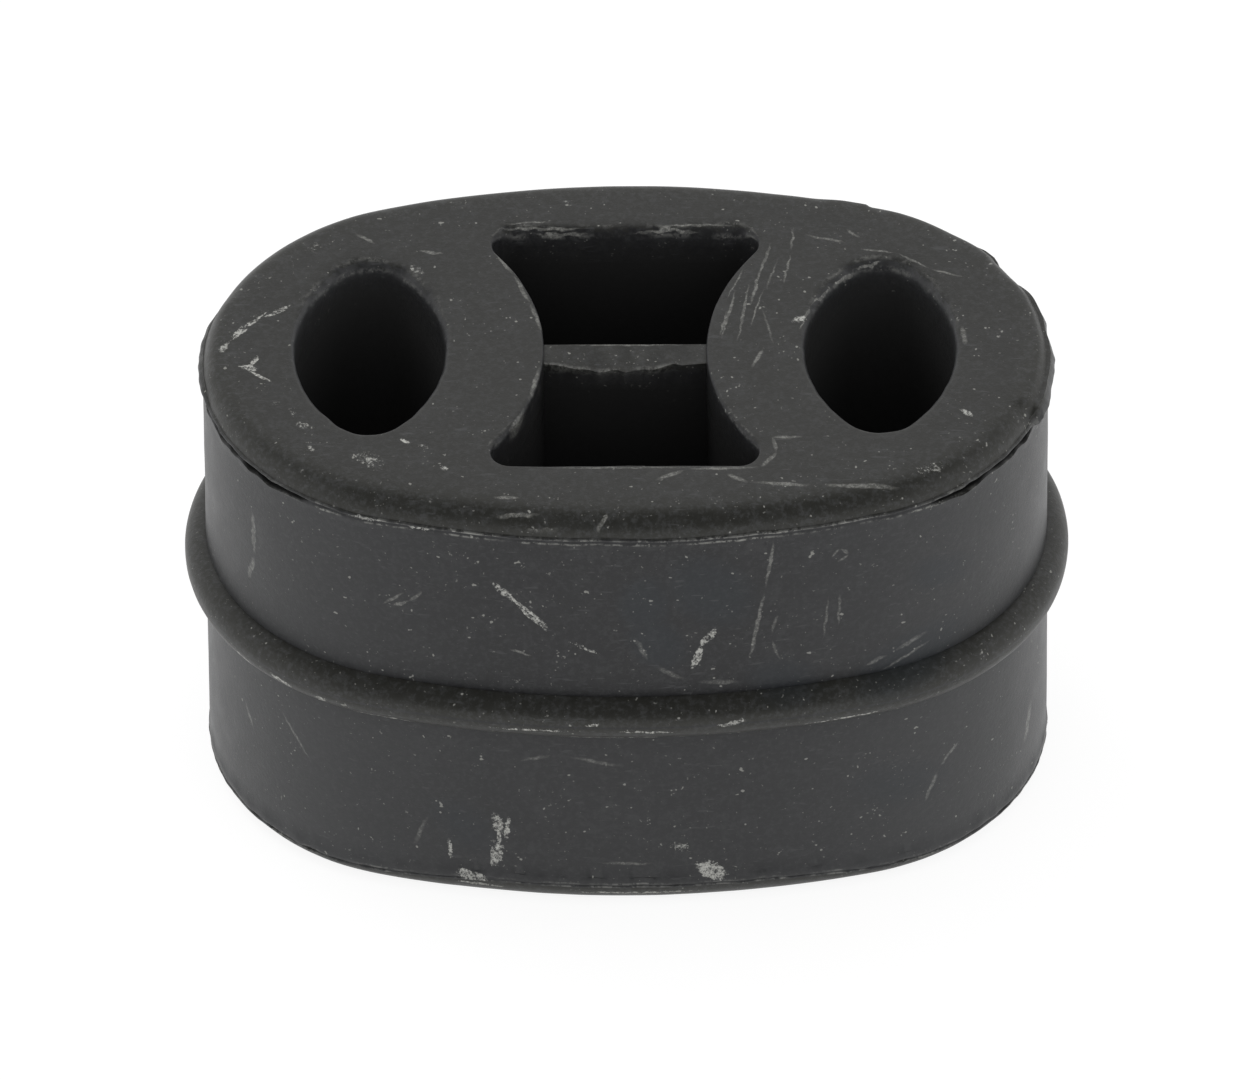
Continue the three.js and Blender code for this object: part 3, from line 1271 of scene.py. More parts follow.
class NodeSheet:
    """Short calls for adding nodes to one material.

    Attributes:
        top_fade: Heights between which marks on the top face come in.
        wall_fade: Places along Y between which marks on the front wall come in.
    """

    top_fade: Band = (35.4, 36.2)
    wall_fade: Band = (-1.0, -4.0)

    def __init__(self, name: str) -> None:
        """Starts a material with its output and surface shader.

        Args:
            name: The material's name.
        """
        self.material = bpy.data.materials.new(name)
        self.material.use_nodes = True
        self.tree = self.material.node_tree
        self.tree.nodes.clear()
        self.output = self.tree.nodes.new("ShaderNodeOutputMaterial")
        self.lens_tree: bpy.types.ShaderNodeTree | None = None

    def add(self, kind: str, **settings: object) -> bpy.types.Node:
        """Adds a node.

        Args:
            kind: The kind of node.
            **settings: Its properties by name.

        Returns:
            The node.
        """
        node = self.tree.nodes.new(kind)
        for name, value in settings.items():
            setattr(node, name, value)
        return node

    def put(self, target: bpy.types.NodeSocket, value: object) -> None:
        """Gives a socket its value.

        Args:
            target: The socket.
            value: Another socket to link to it, or a fixed value.
        """
        if isinstance(value, bpy.types.NodeSocket):
            self.tree.links.new(value, target)
        else:
            target.default_value = value

    def step(self, kind: str, operation: str, values: Sequence[object]) -> bpy.types.NodeSocket:
        """One step of arithmetic.

        Args:
            kind: The kind of node that does it.
            operation: What it does.
            values: Sockets, or fixed values, in the order of the node's inputs.

        Returns:
            The result.
        """
        node = self.add(kind, operation=operation)
        for socket, value in zip(node.inputs, values):
            self.put(socket, value)
        return node.outputs[0]

    def math(self, operation: str, *values: object) -> bpy.types.NodeSocket:
        """One step of arithmetic on numbers."""
        return self.step("ShaderNodeMath", operation, values)

    def vector(self, operation: str, *values: object) -> bpy.types.NodeSocket:
        """One step of arithmetic on vectors."""
        return self.step("ShaderNodeVectorMath", operation, values)

    def rise(self, value: object, low: float, high: float) -> bpy.types.NodeSocket:
        """A smooth rise from 0 at low to 1 at high, or a fall where low is the greater.

        Args:
            value: The number to place between the two limits.
            low: Where the rise starts.
            high: Where it ends.

        Returns:
            A share from 0 to 1.
        """
        node = self.add("ShaderNodeMapRange", interpolation_type="SMOOTHSTEP")
        self.put(node.inputs["Value"], value)
        if low <= high:
            self.put(node.inputs["From Min"], low)
            self.put(node.inputs["From Max"], high)
        else:
            self.put(node.inputs["From Min"], high)
            self.put(node.inputs["From Max"], low)
            self.put(node.inputs["To Min"], 1.0)
            self.put(node.inputs["To Max"], 0.0)
        return node.outputs["Result"]

    def noise(self, place: object, cloud: Cloud) -> bpy.types.NodeSocket:
        """Cloudy noise.

        Args:
            place: The point to read it at.
            cloud: Its scale and octaves.

        Returns:
            A number from about 0.2 to 0.8.
        """
        node = self.add("ShaderNodeTexNoise")
        self.put(node.inputs["Vector"], place)
        for name, value in (("Scale", cloud.scale), ("Detail", cloud.detail), ("Roughness", cloud.roughness)):
            self.put(node.inputs[name], value)
        return node.outputs["Fac"]

    def blend(self, share: object, first: object, second: object) -> bpy.types.NodeSocket:
        """A colour between two colours.

        Args:
            share: How much of the second it has, from 0 to 1.
            first: One colour.
            second: The other.

        Returns:
            The colour.
        """
        node = self.add("ShaderNodeMix", data_type="RGBA")
        self.put(node.inputs["Factor"], share)
        self.put(node.inputs["A"], first)
        self.put(node.inputs["B"], second)
        return node.outputs["Result"]

    def diffuse(self, shade: float) -> bpy.types.Node:
        """A plain grey shader.

        Args:
            shade: Its brightness, from 0 to 1.

        Returns:
            The shader's node.
        """
        node = self.add("ShaderNodeBsdfDiffuse")
        node.inputs["Color"].default_value = (shade, shade, shade, 1.0)
        return node

    def zone(self, zone: Zone) -> bpy.types.NodeSocket:
        """How much of a zone the surface point belongs to."""
        return self.add("ShaderNodeAttribute", attribute_name=zone.value).outputs["Fac"]

    def coordinates(self, at: bpy.types.NodeSocket) -> dict[Plane, bpy.types.NodeSocket]:
        """A point's two coordinates on each plane.

        Args:
            at: The point, in millimetres.

        Returns:
            For each plane, a vector with 1 as its third number.
        """
        split = self.add("ShaderNodeSeparateXYZ")
        self.put(split.inputs[0], at)
        spots = {}
        for plane, second in ((Plane.TOP, "Y"), (Plane.WALL, "Z")):
            join = self.add("ShaderNodeCombineXYZ")
            self.put(join.inputs[0], split.outputs["X"])
            self.put(join.inputs[1], split.outputs[second])
            join.inputs[2].default_value = 1.0
            spots[plane] = join.outputs[0]
        return spots

    def plane_mask(self, plane: Plane) -> bpy.types.NodeSocket:
        """How much the surface point belongs to a plane.

        Args:
            plane: The plane.

        Returns:
            A share from 0 to 1.
        """
        split = self.add("ShaderNodeSeparateXYZ")
        self.put(split.inputs[0], self.add("ShaderNodeTexCoord").outputs["Object"])
        axis, (start, full) = ("Z", self.top_fade) if plane is Plane.TOP else ("Y", self.wall_fade)
        return self.rise(split.outputs[axis], start * MM, full * MM)

    def lens(self) -> bpy.types.Node:
        """Adds a lens: the squared distance from its middle, 1 at its edge, or Nearest if that is less.

        Returns:
            The lens's node.
        """
        if self.lens_tree is None:
            self.lens_tree = self.make_lens()
        return self.add("ShaderNodeGroup", node_tree=self.lens_tree)

    @staticmethod
    def make_lens() -> bpy.types.ShaderNodeTree:
        """Makes the group of nodes that every lens shares.

        Returns:
            The group.
        """
        tree = bpy.data.node_groups.new("lens", "ShaderNodeTree")
        for name, kind in (
            ("Spot", "NodeSocketVector"),
            ("Along", "NodeSocketVector"),
            ("Across", "NodeSocketVector"),
            ("Faintness", "NodeSocketFloat"),
            ("Nearest", "NodeSocketFloat"),
        ):
            socket = tree.interface.new_socket(name, in_out="INPUT", socket_type=kind)
            if name == "Nearest":
                socket.default_value = 1.0
        tree.interface.new_socket("Nearest", in_out="OUTPUT", socket_type="NodeSocketFloat")
        given = tree.nodes.new("NodeGroupInput")
        result = tree.nodes.new("NodeGroupOutput")
        squared = given.outputs["Faintness"]
        for axis in ("Along", "Across"):
            apart = tree.nodes.new("ShaderNodeVectorMath")
            apart.operation = "DOT_PRODUCT"
            tree.links.new(given.outputs["Spot"], apart.inputs[0])
            tree.links.new(given.outputs[axis], apart.inputs[1])
            total = tree.nodes.new("ShaderNodeMath")
            total.operation = "MULTIPLY_ADD"
            tree.links.new(apart.outputs["Value"], total.inputs[0])
            tree.links.new(apart.outputs["Value"], total.inputs[1])
            tree.links.new(squared, total.inputs[2])
            squared = total.outputs[0]
        least = tree.nodes.new("ShaderNodeMath")
        least.operation = "MINIMUM"
        tree.links.new(squared, least.inputs[0])
        tree.links.new(given.outputs["Nearest"], least.inputs[1])
        tree.links.new(least.outputs[0], result.inputs[0])
        return tree


@dataclass(frozen=True)
class Stroke:
    """A scratch, smear or torn lip, as a run of marks that taper at their ends.

    Attributes:
        plane: The surface it lies on.
        path: Its corners, in millimetres.
        width: Half of its width.
        strength: How strongly it shows, from 0 to 1.
    """

    plane: Plane
    path: tuple[tuple[float, float], ...]
    width: float
    strength: float


def marks(plane: Plane, *rows: tuple) -> tuple[Stroke, ...]:
    """Strokes on one plane, each from its path, half width and strength."""
    return tuple(Stroke(plane, *row) for row in rows)


SMEARS = (
    *marks(
        Plane.TOP,
        (((-28.2, -1.9), (-27.0, -2.3)), 0.3, 1.0),
        (((-27.5, -1.9), (-26.8, -0.7)), 0.22, 0.9),
        (((-27.8, -2.2), (-25.7, -3.9)), 0.14, 1.0),
        (((-29.8, -0.6), (-28.9, 1.1), (-27.9, 2.8)), 0.3, 0.8),
        (((-29.0, 0.9), (-27.6, 2.6)), 0.12, 1.0),
        (((-28.3, 2.4), (-26.4, 3.8), (-24.2, 5.3)), 0.3, 0.7),
        (((-27.9, 2.5), (-26.1, 4.5)), 0.1, 1.0),
        (((-26.8, 3.6), (-24.6, 4.6)), 0.1, 1.0),
        (((-29.0, -5.8), (-26.6, -9.8)), 0.9, 0.35),
        (((-24.6, -6.3), (-24.0, -8.0)), 0.5, 0.5),
        (((-24.3, -8.4), (-22.4, -9.2)), 0.45, 0.65),
        (((-23.5, -10.9), (-22.3, -12.0)), 0.4, 0.55),
        (((-20.0, -11.6), (-17.3, -13.9)), 1.2, 0.55),
        (((-16.4, -10.3), (-15.6, -10.9)), 0.2, 0.9),
        (((-15.3, -11.1), (-14.1, -11.6)), 0.4, 0.6),
        (((-13.5, -13.3), (-12.9, -14.0)), 0.25, 0.8),
        (((-26.0, -5.4), (-25.0, -7.0)), 0.7, 0.42),
        (((-29.4, 2.0), (-24.5, 6.2)), 1.0, 0.4),
        (((-16.5, 9.9), (-14.1, 8.3)), 0.45, 0.6),
        (((-23.9, 11.0), (-22.0, 12.4)), 0.7, 0.5),
        (((12.2, 3.0), (13.4, 3.5)), 0.35, 0.85),
        (((20.0, -14.6), (24.6, -12.8)), 0.9, 0.5),
        (((24.4, -7.0), (25.6, -8.2)), 0.25, 0.8),
        (((-4.6, 17.6), (-4.2, 16.2)), 0.3, 0.5),
    ),
    *marks(
        Plane.WALL,
        (((-20.8, 34.9), (-17.2, 35.0)), 0.2, 0.85),
        (((-16.4, 35.0), (-13.4, 34.9)), 0.14, 0.85),
        (((-13.4, 1.4), (-8.2, 1.2)), 0.15, 0.9),
        (((-6.5, 1.2), (8.0, 1.1)), 0.12, 0.85),
        (((-4.0, 0.6), (9.0, 0.6)), 0.1, 0.8),
        (((-10.1, 30.9), (-7.6, 28.6), (-5.2, 26.0)), 0.36, 0.75),
        (((-9.8, 30.9), (-6.6, 27.5)), 0.11, 1.0),
        (((-8.2, 28.9), (-5.4, 26.0)), 0.12, 1.0),
        (((-7.6, 28.8), (-5.9, 27.0)), 0.11, 1.0),
        (((-28.7, 17.9), (-27.5, 17.5)), 0.22, 0.9),
        (((-26.4, 18.2), (-24.3, 17.6)), 0.24, 0.9),
        (((-22.9, 18.0), (-22.0, 17.5)), 0.35, 0.8),
        (((-21.6, 17.3), (-14.0, 17.25)), 0.16, 0.8),
        (((-12.0, 17.9), (-2.0, 18.2), (5.0, 18.0)), 0.14, 0.75),
        (((-9.0, 17.25), (8.0, 17.2)), 0.12, 0.8),
        (((6.0, 18.3), (9.5, 18.9)), 0.3, 0.7),
        (((11.0, 17.6), (21.0, 17.7)), 0.14, 0.8),
        (((-3.4, 18.7), (-1.4, 18.9)), 0.2, 0.7),
        (((-5.4, 26.1), (-0.6, 23.6)), 0.25, 0.6),
        (((-9.7, 8.7), (-9.3, 6.2), (-9.9, 2.8)), 0.5, 0.8),
        (((-9.5, 8.6), (-9.4, 4.6)), 0.16, 1.0),
        (((-9.9, 5.6), (-10.0, 2.9)), 0.13, 1.0),
        (((-8.7, 8.6), (-8.9, 5.4)), 0.25, 0.8),
        (((-13.1, 5.9), (-13.0, 3.2)), 0.22, 0.8),
        (((-12.9, 2.5), (-10.1, 1.9)), 0.5, 0.9),
        (((5.2, 4.1), (7.1, 2.5)), 0.8, 0.9),
        (((2.8, 6.0), (5.0, 5.3)), 0.6, 0.6),
        (((6.7, 26.5), (5.5, 24.9), (4.9, 22.7)), 0.3, 1.0),
        (((3.4, 14.8), (6.4, 11.6)), 0.8, 0.4),
    ),
)

SCRATCHES = (
    *marks(
        Plane.TOP,
        (((-9.5, -18.5), (-6.0, -18.6)), 0.1, 0.9),
        (((-8.6, -19.3), (-4.4, -19.35)), 0.1, 0.8),
        (((-2.0, -19.5), (-1.2, -18.7)), 0.14, 0.9),
        (((-15.1, 11.3), (-13.4, 10.9)), 0.14, 0.9),
        (((-19.9, 13.4), (-18.4, 12.1)), 0.14, 0.8),
        (((-17.8, 8.9), (-16.5, 7.4)), 0.12, 0.8),
        (((10.8, 12.2), (9.7, 7.8)), 0.1, 0.9),
        (((9.9, 9.0), (9.2, 4.6)), 0.1, 0.9),
        (((9.2, 8.0), (8.2, 0.2)), 0.09, 0.85),
        (((8.2, 6.8), (7.0, 0.8)), 0.1, 0.9),
        (((8.8, 9.4), (7.4, 5.4)), 0.08, 0.8),
        (((10.3, 7.4), (9.0, 1.6)), 0.07, 0.7),
        (((7.6, 4.6), (6.9, 1.2)), 0.08, 0.8),
        (((11.4, 10.8), (10.2, 6.0)), 0.09, 0.6),
        (((12.4, 14.0), (12.2, 11.0), (11.6, 7.0)), 0.09, 0.8),
        (((13.0, 13.0), (16.4, 12.0)), 0.13, 0.8),
        (((17.4, 12.4), (16.2, 13.7)), 0.13, 0.6),
        (((9.9, 5.4), (11.1, -0.8)), 0.12, 0.5),
        (((10.1, -0.2), (9.3, -2.4)), 0.14, 0.9),
        (((24.7, 2.6), (25.0, 0.0)), 0.2, 0.7),
        (((2.2, -15.1), (4.4, -14.0)), 0.2, 0.8),
        (((4.2, -13.9), (10.2, -13.7)), 0.14, 0.8),
        (((10.0, -13.7), (11.1, -12.0), (10.8, -10.3), (13.0, -10.3)), 0.14, 0.9),
        (((7.4, -14.4), (9.0, -15.4), (13.9, -15.8), (20.5, -15.7)), 0.2, 0.8),
        (((-9.6, -16.9), (-7.6, -17.1)), 0.14, 0.9),
    ),
    *marks(
        Plane.WALL,
        (((-27.3, 30.8), (-27.2, 26.4), (-27.7, 23.8)), 0.13, 0.9),
        (((-14.9, 28.9), (-15.8, 27.8), (-17.0, 27.2)), 0.12, 0.9),
        (((-16.0, 28.7), (-17.9, 27.0)), 0.12, 0.7),
        (((-8.4, 24.4), (-6.9, 23.9)), 0.1, 1.0),
        (((0.5, 26.3), (1.8, 23.3), (4.7, 21.5), (9.0, 21.1)), 0.25, 0.5),
        (((10.9, 34.4), (10.2, 29.8), (9.0, 23.0)), 0.13, 0.9),
        (((11.2, 27.6), (10.6, 25.2), (11.4, 22.6)), 0.12, 0.6),
        (((14.9, 29.1), (14.4, 23.6)), 0.11, 0.6),
        (((15.7, 28.9), (15.5, 24.8)), 0.12, 0.6),
        (((15.0, 31.9), (15.7, 32.7), (16.4, 32.0), (15.5, 31.4)), 0.12, 0.65),
        (((22.4, 22.9), (19.3, 21.8), (17.2, 21.0)), 0.2, 0.6),
        (((22.9, 22.1), (18.1, 20.1)), 0.14, 0.65),
        (((-2.8, 4.3), (2.6, 4.1)), 0.14, 0.6),
        (((-14.5, 8.0), (-15.9, 3.8)), 0.2, 0.5),
        (((-8.2, 13.6), (-5.2, 14.6), (0.6, 13.4)), 0.2, 0.5),
        (((29.8, 8.8), (29.3, 5.2)), 0.14, 0.8),
        (((24.5, 11.0), (22.9, 9.2), (21.8, 6.2)), 0.14, 0.7),
        (((-25.8, 14.0), (-22.9, 9.2)), 0.12, 0.6),
        (((-28.2, 11.8), (-27.5, 9.2)), 0.12, 0.6),
    ),
)

LIPS = (
    *marks(
        Plane.TOP,
        (((12.8, 2.0), (13.6, 4.9), (15.2, 7.3), (16.9, 9.4), (18.9, 10.2)), 0.07, 1.0),
        (((17.2, 11.3), (20.0, 10.8), (22.4, 9.0), (25.0, 7.9)), 0.09, 0.9),
        (((-9.7, 11.3), (-8.2, 8.4), (-7.0, 5.2), (-6.0, 1.7)), 0.14, 0.9),
        (((-6.1, -1.6), (-7.1, -6.4), (-8.6, -9.8)), 0.16, 0.7),
        (((-9.2, 14.4), (-5.0, 14.6)), 0.08, 0.8),
        (((-9.4, 14.0), (-3.0, 13.9)), 0.09, 1.0),
        (((-7.0, 13.65), (-2.6, 13.6)), 0.08, 0.9),
        (((0.4, 13.65), (5.6, 13.8)), 0.09, 1.0),
        (((2.0, 14.1), (8.4, 14.3)), 0.08, 0.8),
        (((2.6, 13.8), (3.3, 14.0)), 0.18, 1.0),
        (((-8.2, -13.7), (8.2, -13.75)), 0.1, 0.6),
        (((-5.7, -1.25), (-3.0, -1.6)), 0.1, 1.0),
        (((-0.9, -2.0), (1.7, -1.9)), 0.1, 1.0),
        (((-5.8, 1.05), (5.8, 1.05)), 0.08, 0.7),
    ),
)

STAINS = (
    *marks(
        Plane.WALL,
        (((1.6, 31.0), (1.2, 27.0), (3.4, 23.6)), 1.8, 0.8),
        (((4.5, 32.0), (8.0, 28.0)), 2.6, 0.8),
        (((17.0, 19.6), (25.0, 22.6)), 2.2, 0.7),
        (((21.0, 29.0), (25.0, 27.0)), 1.8, 0.6),
        (((9.0, 22.0), (14.0, 20.4)), 2.0, 0.6),
        (((-14.0, 9.0), (-10.0, 5.0)), 2.4, 0.5),
        (((16.0, 10.0), (24.0, 8.0)), 2.6, 0.5),
    ),
)


@dataclass(frozen=True)
class Dots:
    """Specks of one size, as their cycles for each millimetre, the level they start at, and strength."""

    scale: float
    level: float
    strength: float


@dataclass(frozen=True)
class WornRubber:
    """Black moulded rubber with a dusty bloom, scuffs, scratches and specks, and with light and shade painted
    into its colour in places.

    Attributes:
        face: Colour of the flat faces, a tone lighter and warmer than the wall's that is partly painted
            light, set by which way the surface faces.
        wall: Colour of the wall, a tone darker and bluer than the faces' that is partly painted shade, set by
            which way the surface faces.
        rim: Colour of the rims, the bead and the web's edges, a tone of their own lifted as painted light on
            the rounds.
        inside: Painted shade: the flat, gloss-free colour that stands for the dark deep inside the openings.
        painted_recess_shade: Painted shade: near-black laid in the crevices under the flash, deep in the
            pockets and in patches on the recessed web.
        bloom_and_painted_light: The pale dust colour of clouds, mottle and lint, also laid on the wall as
            painted light: a painted sheen at its ends and painted light from the floor low down.
        stain: Colour of the bluish stains.
        dust: Colour of scuffs, scratches and specks.
        chalk: Colour of smears.
        roughness: Middle roughness of clean rubber.
        rough_spread: How far clean rubber's roughness varies.
        dust_rough: How much rougher dusty places are.
        gloss: Specular level outside the openings, taken away where their painted shade lies.
        flat_band: How squarely the surface faces up or down where it starts to be face, and where it is.
        end_band: Places along X between which the painted sheen on the wall's ends comes in.
        end_painted_sheen: How strong that painted sheen is at the ends, laid in the pale dust colour.
        foot_band: Heights below the bead between which painted light from the floor comes in.
        foot_painted_light: How much of that painted light there is.
        cloud_band: Coarse noise at which a cloud of bloom starts, and at which it is whole.
        cloud_share: How much such a cloud covers.
        mottle_band: Fine noise at which mottle starts, and at which it is whole.
        mottle_share: How much mottle covers.
        rim_mottle: How much more of it there is on the rims.
        scuff_bands: Coarse and fine noise at which a scuff starts to show, and at which it does.
        fine: Noise that breaks up scuffs and mottle.
        coarse: Noise that gathers specks and clouds.
        grain: Noise that breaks up smears and scratches.
        relief: Noise that the bump follows.
        relief_strength: Strength of the bump.
        relief_height: Height of the bump in millimetres.
        drift: Scale of the noise that bends the marks.
        drift_reach: How far it moves them, in millimetres.
        mark_width: Width of a mark's outermost trace, as a share of its own.
        mark_edge: Squared distance at which a mark starts, and at which it is whole.
        smear_weight: How much a smear adds to the grain.
        smear_band: Sum of the two at which chalk starts, and at which it is whole.
        scratch_band: Grain at which a scratch starts to be whole, and at which it is.
        scratch_least: How much of a scratch shows between the grain.
        shares: How strongly stains, lint, scratches, smears and specks cover the rubber.
        dots: The sizes of speck.
        dot_edge: How fast a speck comes in.
        gathering: How much the coarse noise gathers specks.
        rim_gathering: How much thicker specks lie on the rims and the bead.
        lint_turns: Directions of the lint, in degrees.
        lint_lean: How far it turns about Y, as a share of its turn about X and Z.
        lint_stretch: How far the lint's noise is stretched along each axis.
        lint_cloud: The lint's noise.
        lint_band: Noise at which lint starts, and at which it is whole.
    """

    # The faces' and the wall's colours differ partly as painted light, by which way the surface faces
    face: Colour = (0.021, 0.021, 0.019, 1.0)
    wall: Colour = (0.018, 0.0182, 0.0195, 1.0)
    # Lifted as painted light on the rounded rims, the bead and the web's edges
    rim: Colour = (0.0245, 0.0245, 0.021, 1.0)
    # Painted shade: the flat colour of the openings' depths
    inside: Colour = (0.036, 0.036, 0.036, 1.0)
    # Painted shade: near-black for the crevices, the pockets and the web's recessed face
    painted_recess_shade: Colour = (0.004, 0.004, 0.004, 1.0)
    # Pale dust colour, also laid on the wall as painted light
    bloom_and_painted_light: Colour = (0.07, 0.072, 0.074, 1.0)
    stain: Colour = (0.020, 0.027, 0.034, 1.0)
    dust: Colour = (0.42, 0.42, 0.39, 1.0)
    chalk: Colour = (0.66, 0.66, 0.62, 1.0)
    roughness: float = 0.42
    rough_spread: float = 0.16
    dust_rough: float = 0.4
    gloss: float = 0.35
    flat_band: Band = (0.75, 0.97)
    # Painted light: a painted sheen on the wall's ends, and painted light from the floor low on the wall
    end_band: Band = (6.0, 26.0)
    end_painted_sheen: float = 0.34
    foot_band: Band = (19.0, 14.0)
    foot_painted_light: float = 0.14
    cloud_band: Band = (0.45, 0.75)
    cloud_share: float = 0.16
    mottle_band: Band = (0.44, 0.68)
    mottle_share: float = 0.26
    rim_mottle: float = 0.2
    scuff_bands: tuple[Band, Band] = ((0.40, 0.58), (0.40, 0.56))
    fine: Cloud = Cloud(2.2, 4.0, 0.72)
    coarse: Cloud = Cloud(0.5, 3.0, 0.6)
    grain: Cloud = Cloud(3.2, 4.0, 0.85)
    relief: Cloud = Cloud(3.2, 4.0, 0.72)
    relief_strength: float = 0.4
    relief_height: float = 0.07
    drift: float = 1.3
    drift_reach: float = 0.2
    mark_width: float = 1.5
    mark_edge: Band = (1.0, 0.25)
    smear_weight: float = 0.34
    smear_band: Band = (0.74, 0.93)
    scratch_band: Band = (0.46, 0.58)
    scratch_least: float = 0.35
    shares: tuple[float, ...] = (0.4, 0.45, 0.42, 0.8, 0.6)
    dots: tuple[Dots, ...] = (Dots(2.1, 0.915, 1.0), Dots(3.7, 0.89, 0.45))
    dot_edge: float = 0.05
    gathering: float = 0.32
    rim_gathering: float = 0.04
    lint_turns: tuple[float, ...] = (14.0, -52.0)
    lint_lean: float = 0.6
    lint_stretch: tuple[float, float, float] = (0.6, 3.4, 3.4)
    lint_cloud: Cloud = Cloud(0.6, 2.0, 0.7)
    lint_band: Band = (0.66, 0.74)

    def material(self) -> bpy.types.Material:
        """Makes the finish.

        Returns:
            The material.
        """
        sheet = NodeSheet("worn_rubber")
        place = sheet.add("ShaderNodeVectorMath", operation="SCALE")
        sheet.put(place.inputs[0], sheet.add("ShaderNodeTexCoord").outputs["Object"])
        sheet.put(place.inputs["Scale"], 1.0 / MM)
        at = place.outputs[0]
        # Away from the openings' painted shade, where gloss and marks are kept
        outside = sheet.math("SUBTRACT", 1.0, sheet.zone(Zone.INSIDE))
        fine, coarse, grain = (sheet.noise(at, cloud) for cloud in (self.fine, self.coarse, self.grain))
        spots = sheet.coordinates(self.bent(sheet, at))
        smears, cuts, lips, stains = (
            sheet.math("MULTIPLY", self.strokes(sheet, strokes, spots), outside)
            for strokes in (SMEARS, SCRATCHES, LIPS, STAINS)
        )
        smears = sheet.rise(sheet.math("MULTIPLY_ADD", smears, self.smear_weight, grain), *self.smear_band)
        whole = sheet.rise(grain, *self.scratch_band)
        part = sheet.math("MULTIPLY_ADD", whole, 1.0 - self.scratch_least, self.scratch_least)
        scratches = sheet.math("MULTIPLY", sheet.math("MAXIMUM", cuts, lips), part)
        specks = sheet.math("MULTIPLY", self.specks(sheet, at, coarse), outside)
        lint = sheet.math("MULTIPLY", self.lint(sheet, at), outside)
        layers = ((stains, self.stain), (lint, self.bloom_and_painted_light), (scratches, self.dust))
        layers += ((smears, self.chalk), (specks, self.dust))
        colour = self.body_colour(sheet, at, coarse, fine)
        for (mask, tint), share in zip(layers, self.shares):
            colour = sheet.blend(sheet.math("MULTIPLY", mask, share), colour, tint)
        surface = sheet.add("ShaderNodeBsdfPrincipled")
        sheet.put(surface.inputs["Base Color"], colour)
        # Gloss is taken away in the openings as part of their painted shade
        sheet.put(surface.inputs["Specular IOR Level"], sheet.math("MULTIPLY", outside, self.gloss))
        smoothest = self.roughness - self.rough_spread / 2
        clean = sheet.math("MULTIPLY_ADD", coarse, self.rough_spread, smoothest)
        dusty = sheet.math("MAXIMUM", smears, specks)
        sheet.put(surface.inputs["Roughness"], sheet.math("MULTIPLY_ADD", dusty, self.dust_rough, clean))
        bump = sheet.add("ShaderNodeBump")
        bump.inputs["Strength"].default_value = self.relief_strength
        bump.inputs["Distance"].default_value = self.relief_height * MM
        sheet.put(bump.inputs["Height"], sheet.noise(at, self.relief))
        sheet.put(surface.inputs["Normal"], bump.outputs[0])
        sheet.put(sheet.output.inputs["Surface"], surface.outputs[0])
        return sheet.material

    def bent(self, sheet: NodeSheet, at: bpy.types.NodeSocket) -> bpy.types.NodeSocket:
        """The surface point moved about a little, so that marks laid at it wander.

        Args:
            sheet: The material's nodes.
            at: The surface point, in millimetres.

        Returns:
            The moved point.
        """
        warp = sheet.add("ShaderNodeTexNoise")
        sheet.put(warp.inputs["Vector"], at)
        warp.inputs["Scale"].default_value = self.drift
        warp.inputs["Detail"].default_value = 2.0
        width, shift = [2 * self.drift_reach] * 3, [-self.drift_reach] * 3
        moved = sheet.vector("MULTIPLY_ADD", warp.outputs["Color"], width, shift)
        return sheet.vector("ADD", at, moved)

    def strokes(
        self, sheet: NodeSheet, strokes: Sequence[Stroke], spots: dict[Plane, bpy.types.NodeSocket]
    ) -> bpy.types.NodeSocket:
        """How strongly any of these marks shows at the surface point.

        Args:
            sheet: The material's nodes.
            strokes: The marks.
            spots: The surface point's coordinates on each plane, with 1 as the third.

        Returns:
            A share from 0 to 1.
        """
        nearest = {plane: None for plane in Plane}
        for stroke in strokes:
            for start, end in zip(stroke.path, stroke.path[1:]):
                length = math.dist(start, end)
                run = ((end[0] - start[0]) / length, (end[1] - start[1]) / length)
                middle = ((start[0] + end[0]) / 2, (start[1] + end[1]) / 2)
                reach, half = length / 2 + stroke.width, stroke.width * self.mark_width
                along = (*run, -run[0] * middle[0] - run[1] * middle[1])
                across = (-run[1], run[0], run[1] * middle[0] - run[0] * middle[1])
                lens = sheet.lens()
                sheet.put(lens.inputs["Spot"], spots[stroke.plane])
                sheet.put(lens.inputs["Along"], [number / reach for number in along])
                sheet.put(lens.inputs["Across"], [number / half for number in across])
                sheet.put(lens.inputs["Faintness"], 1.0 - stroke.strength)
                if nearest[stroke.plane] is not None:
                    sheet.put(lens.inputs["Nearest"], nearest[stroke.plane])
                nearest[stroke.plane] = lens.outputs[0]
        total: object = 0.0
        for plane, distance in nearest.items():
            if distance is not None:
                inside = sheet.rise(distance, *self.mark_edge)
                shown = sheet.math("MULTIPLY", inside, sheet.plane_mask(plane))
                total = sheet.math("MAXIMUM", total, shown)
        return total

    def specks(
        self, sheet: NodeSheet, at: bpy.types.NodeSocket, coarse: bpy.types.NodeSocket
    ) -> bpy.types.NodeSocket:
        """Bright dust specks, thicker in some places than in others.

        Args:
            sheet: The material's nodes.
            at: The surface point, in millimetres.
            coarse: Cloudy noise that gathers them.

        Returns:
            A share from 0 to 1.
        """
        total: object = 0.0
        gathered = sheet.math("MULTIPLY_ADD", sheet.zone(Zone.RIM), self.rim_gathering, coarse)
        for dots in self.dots:
            noise_here = sheet.noise(at, Cloud(dots.scale, 1.0, 0.5))
            raised = sheet.math("MULTIPLY_ADD", gathered, self.gathering, noise_here)
            shown = sheet.rise(raised, dots.level, dots.level + self.dot_edge)
            total = sheet.math("MAXIMUM", total, sheet.math("MULTIPLY", shown, dots.strength))
        return total

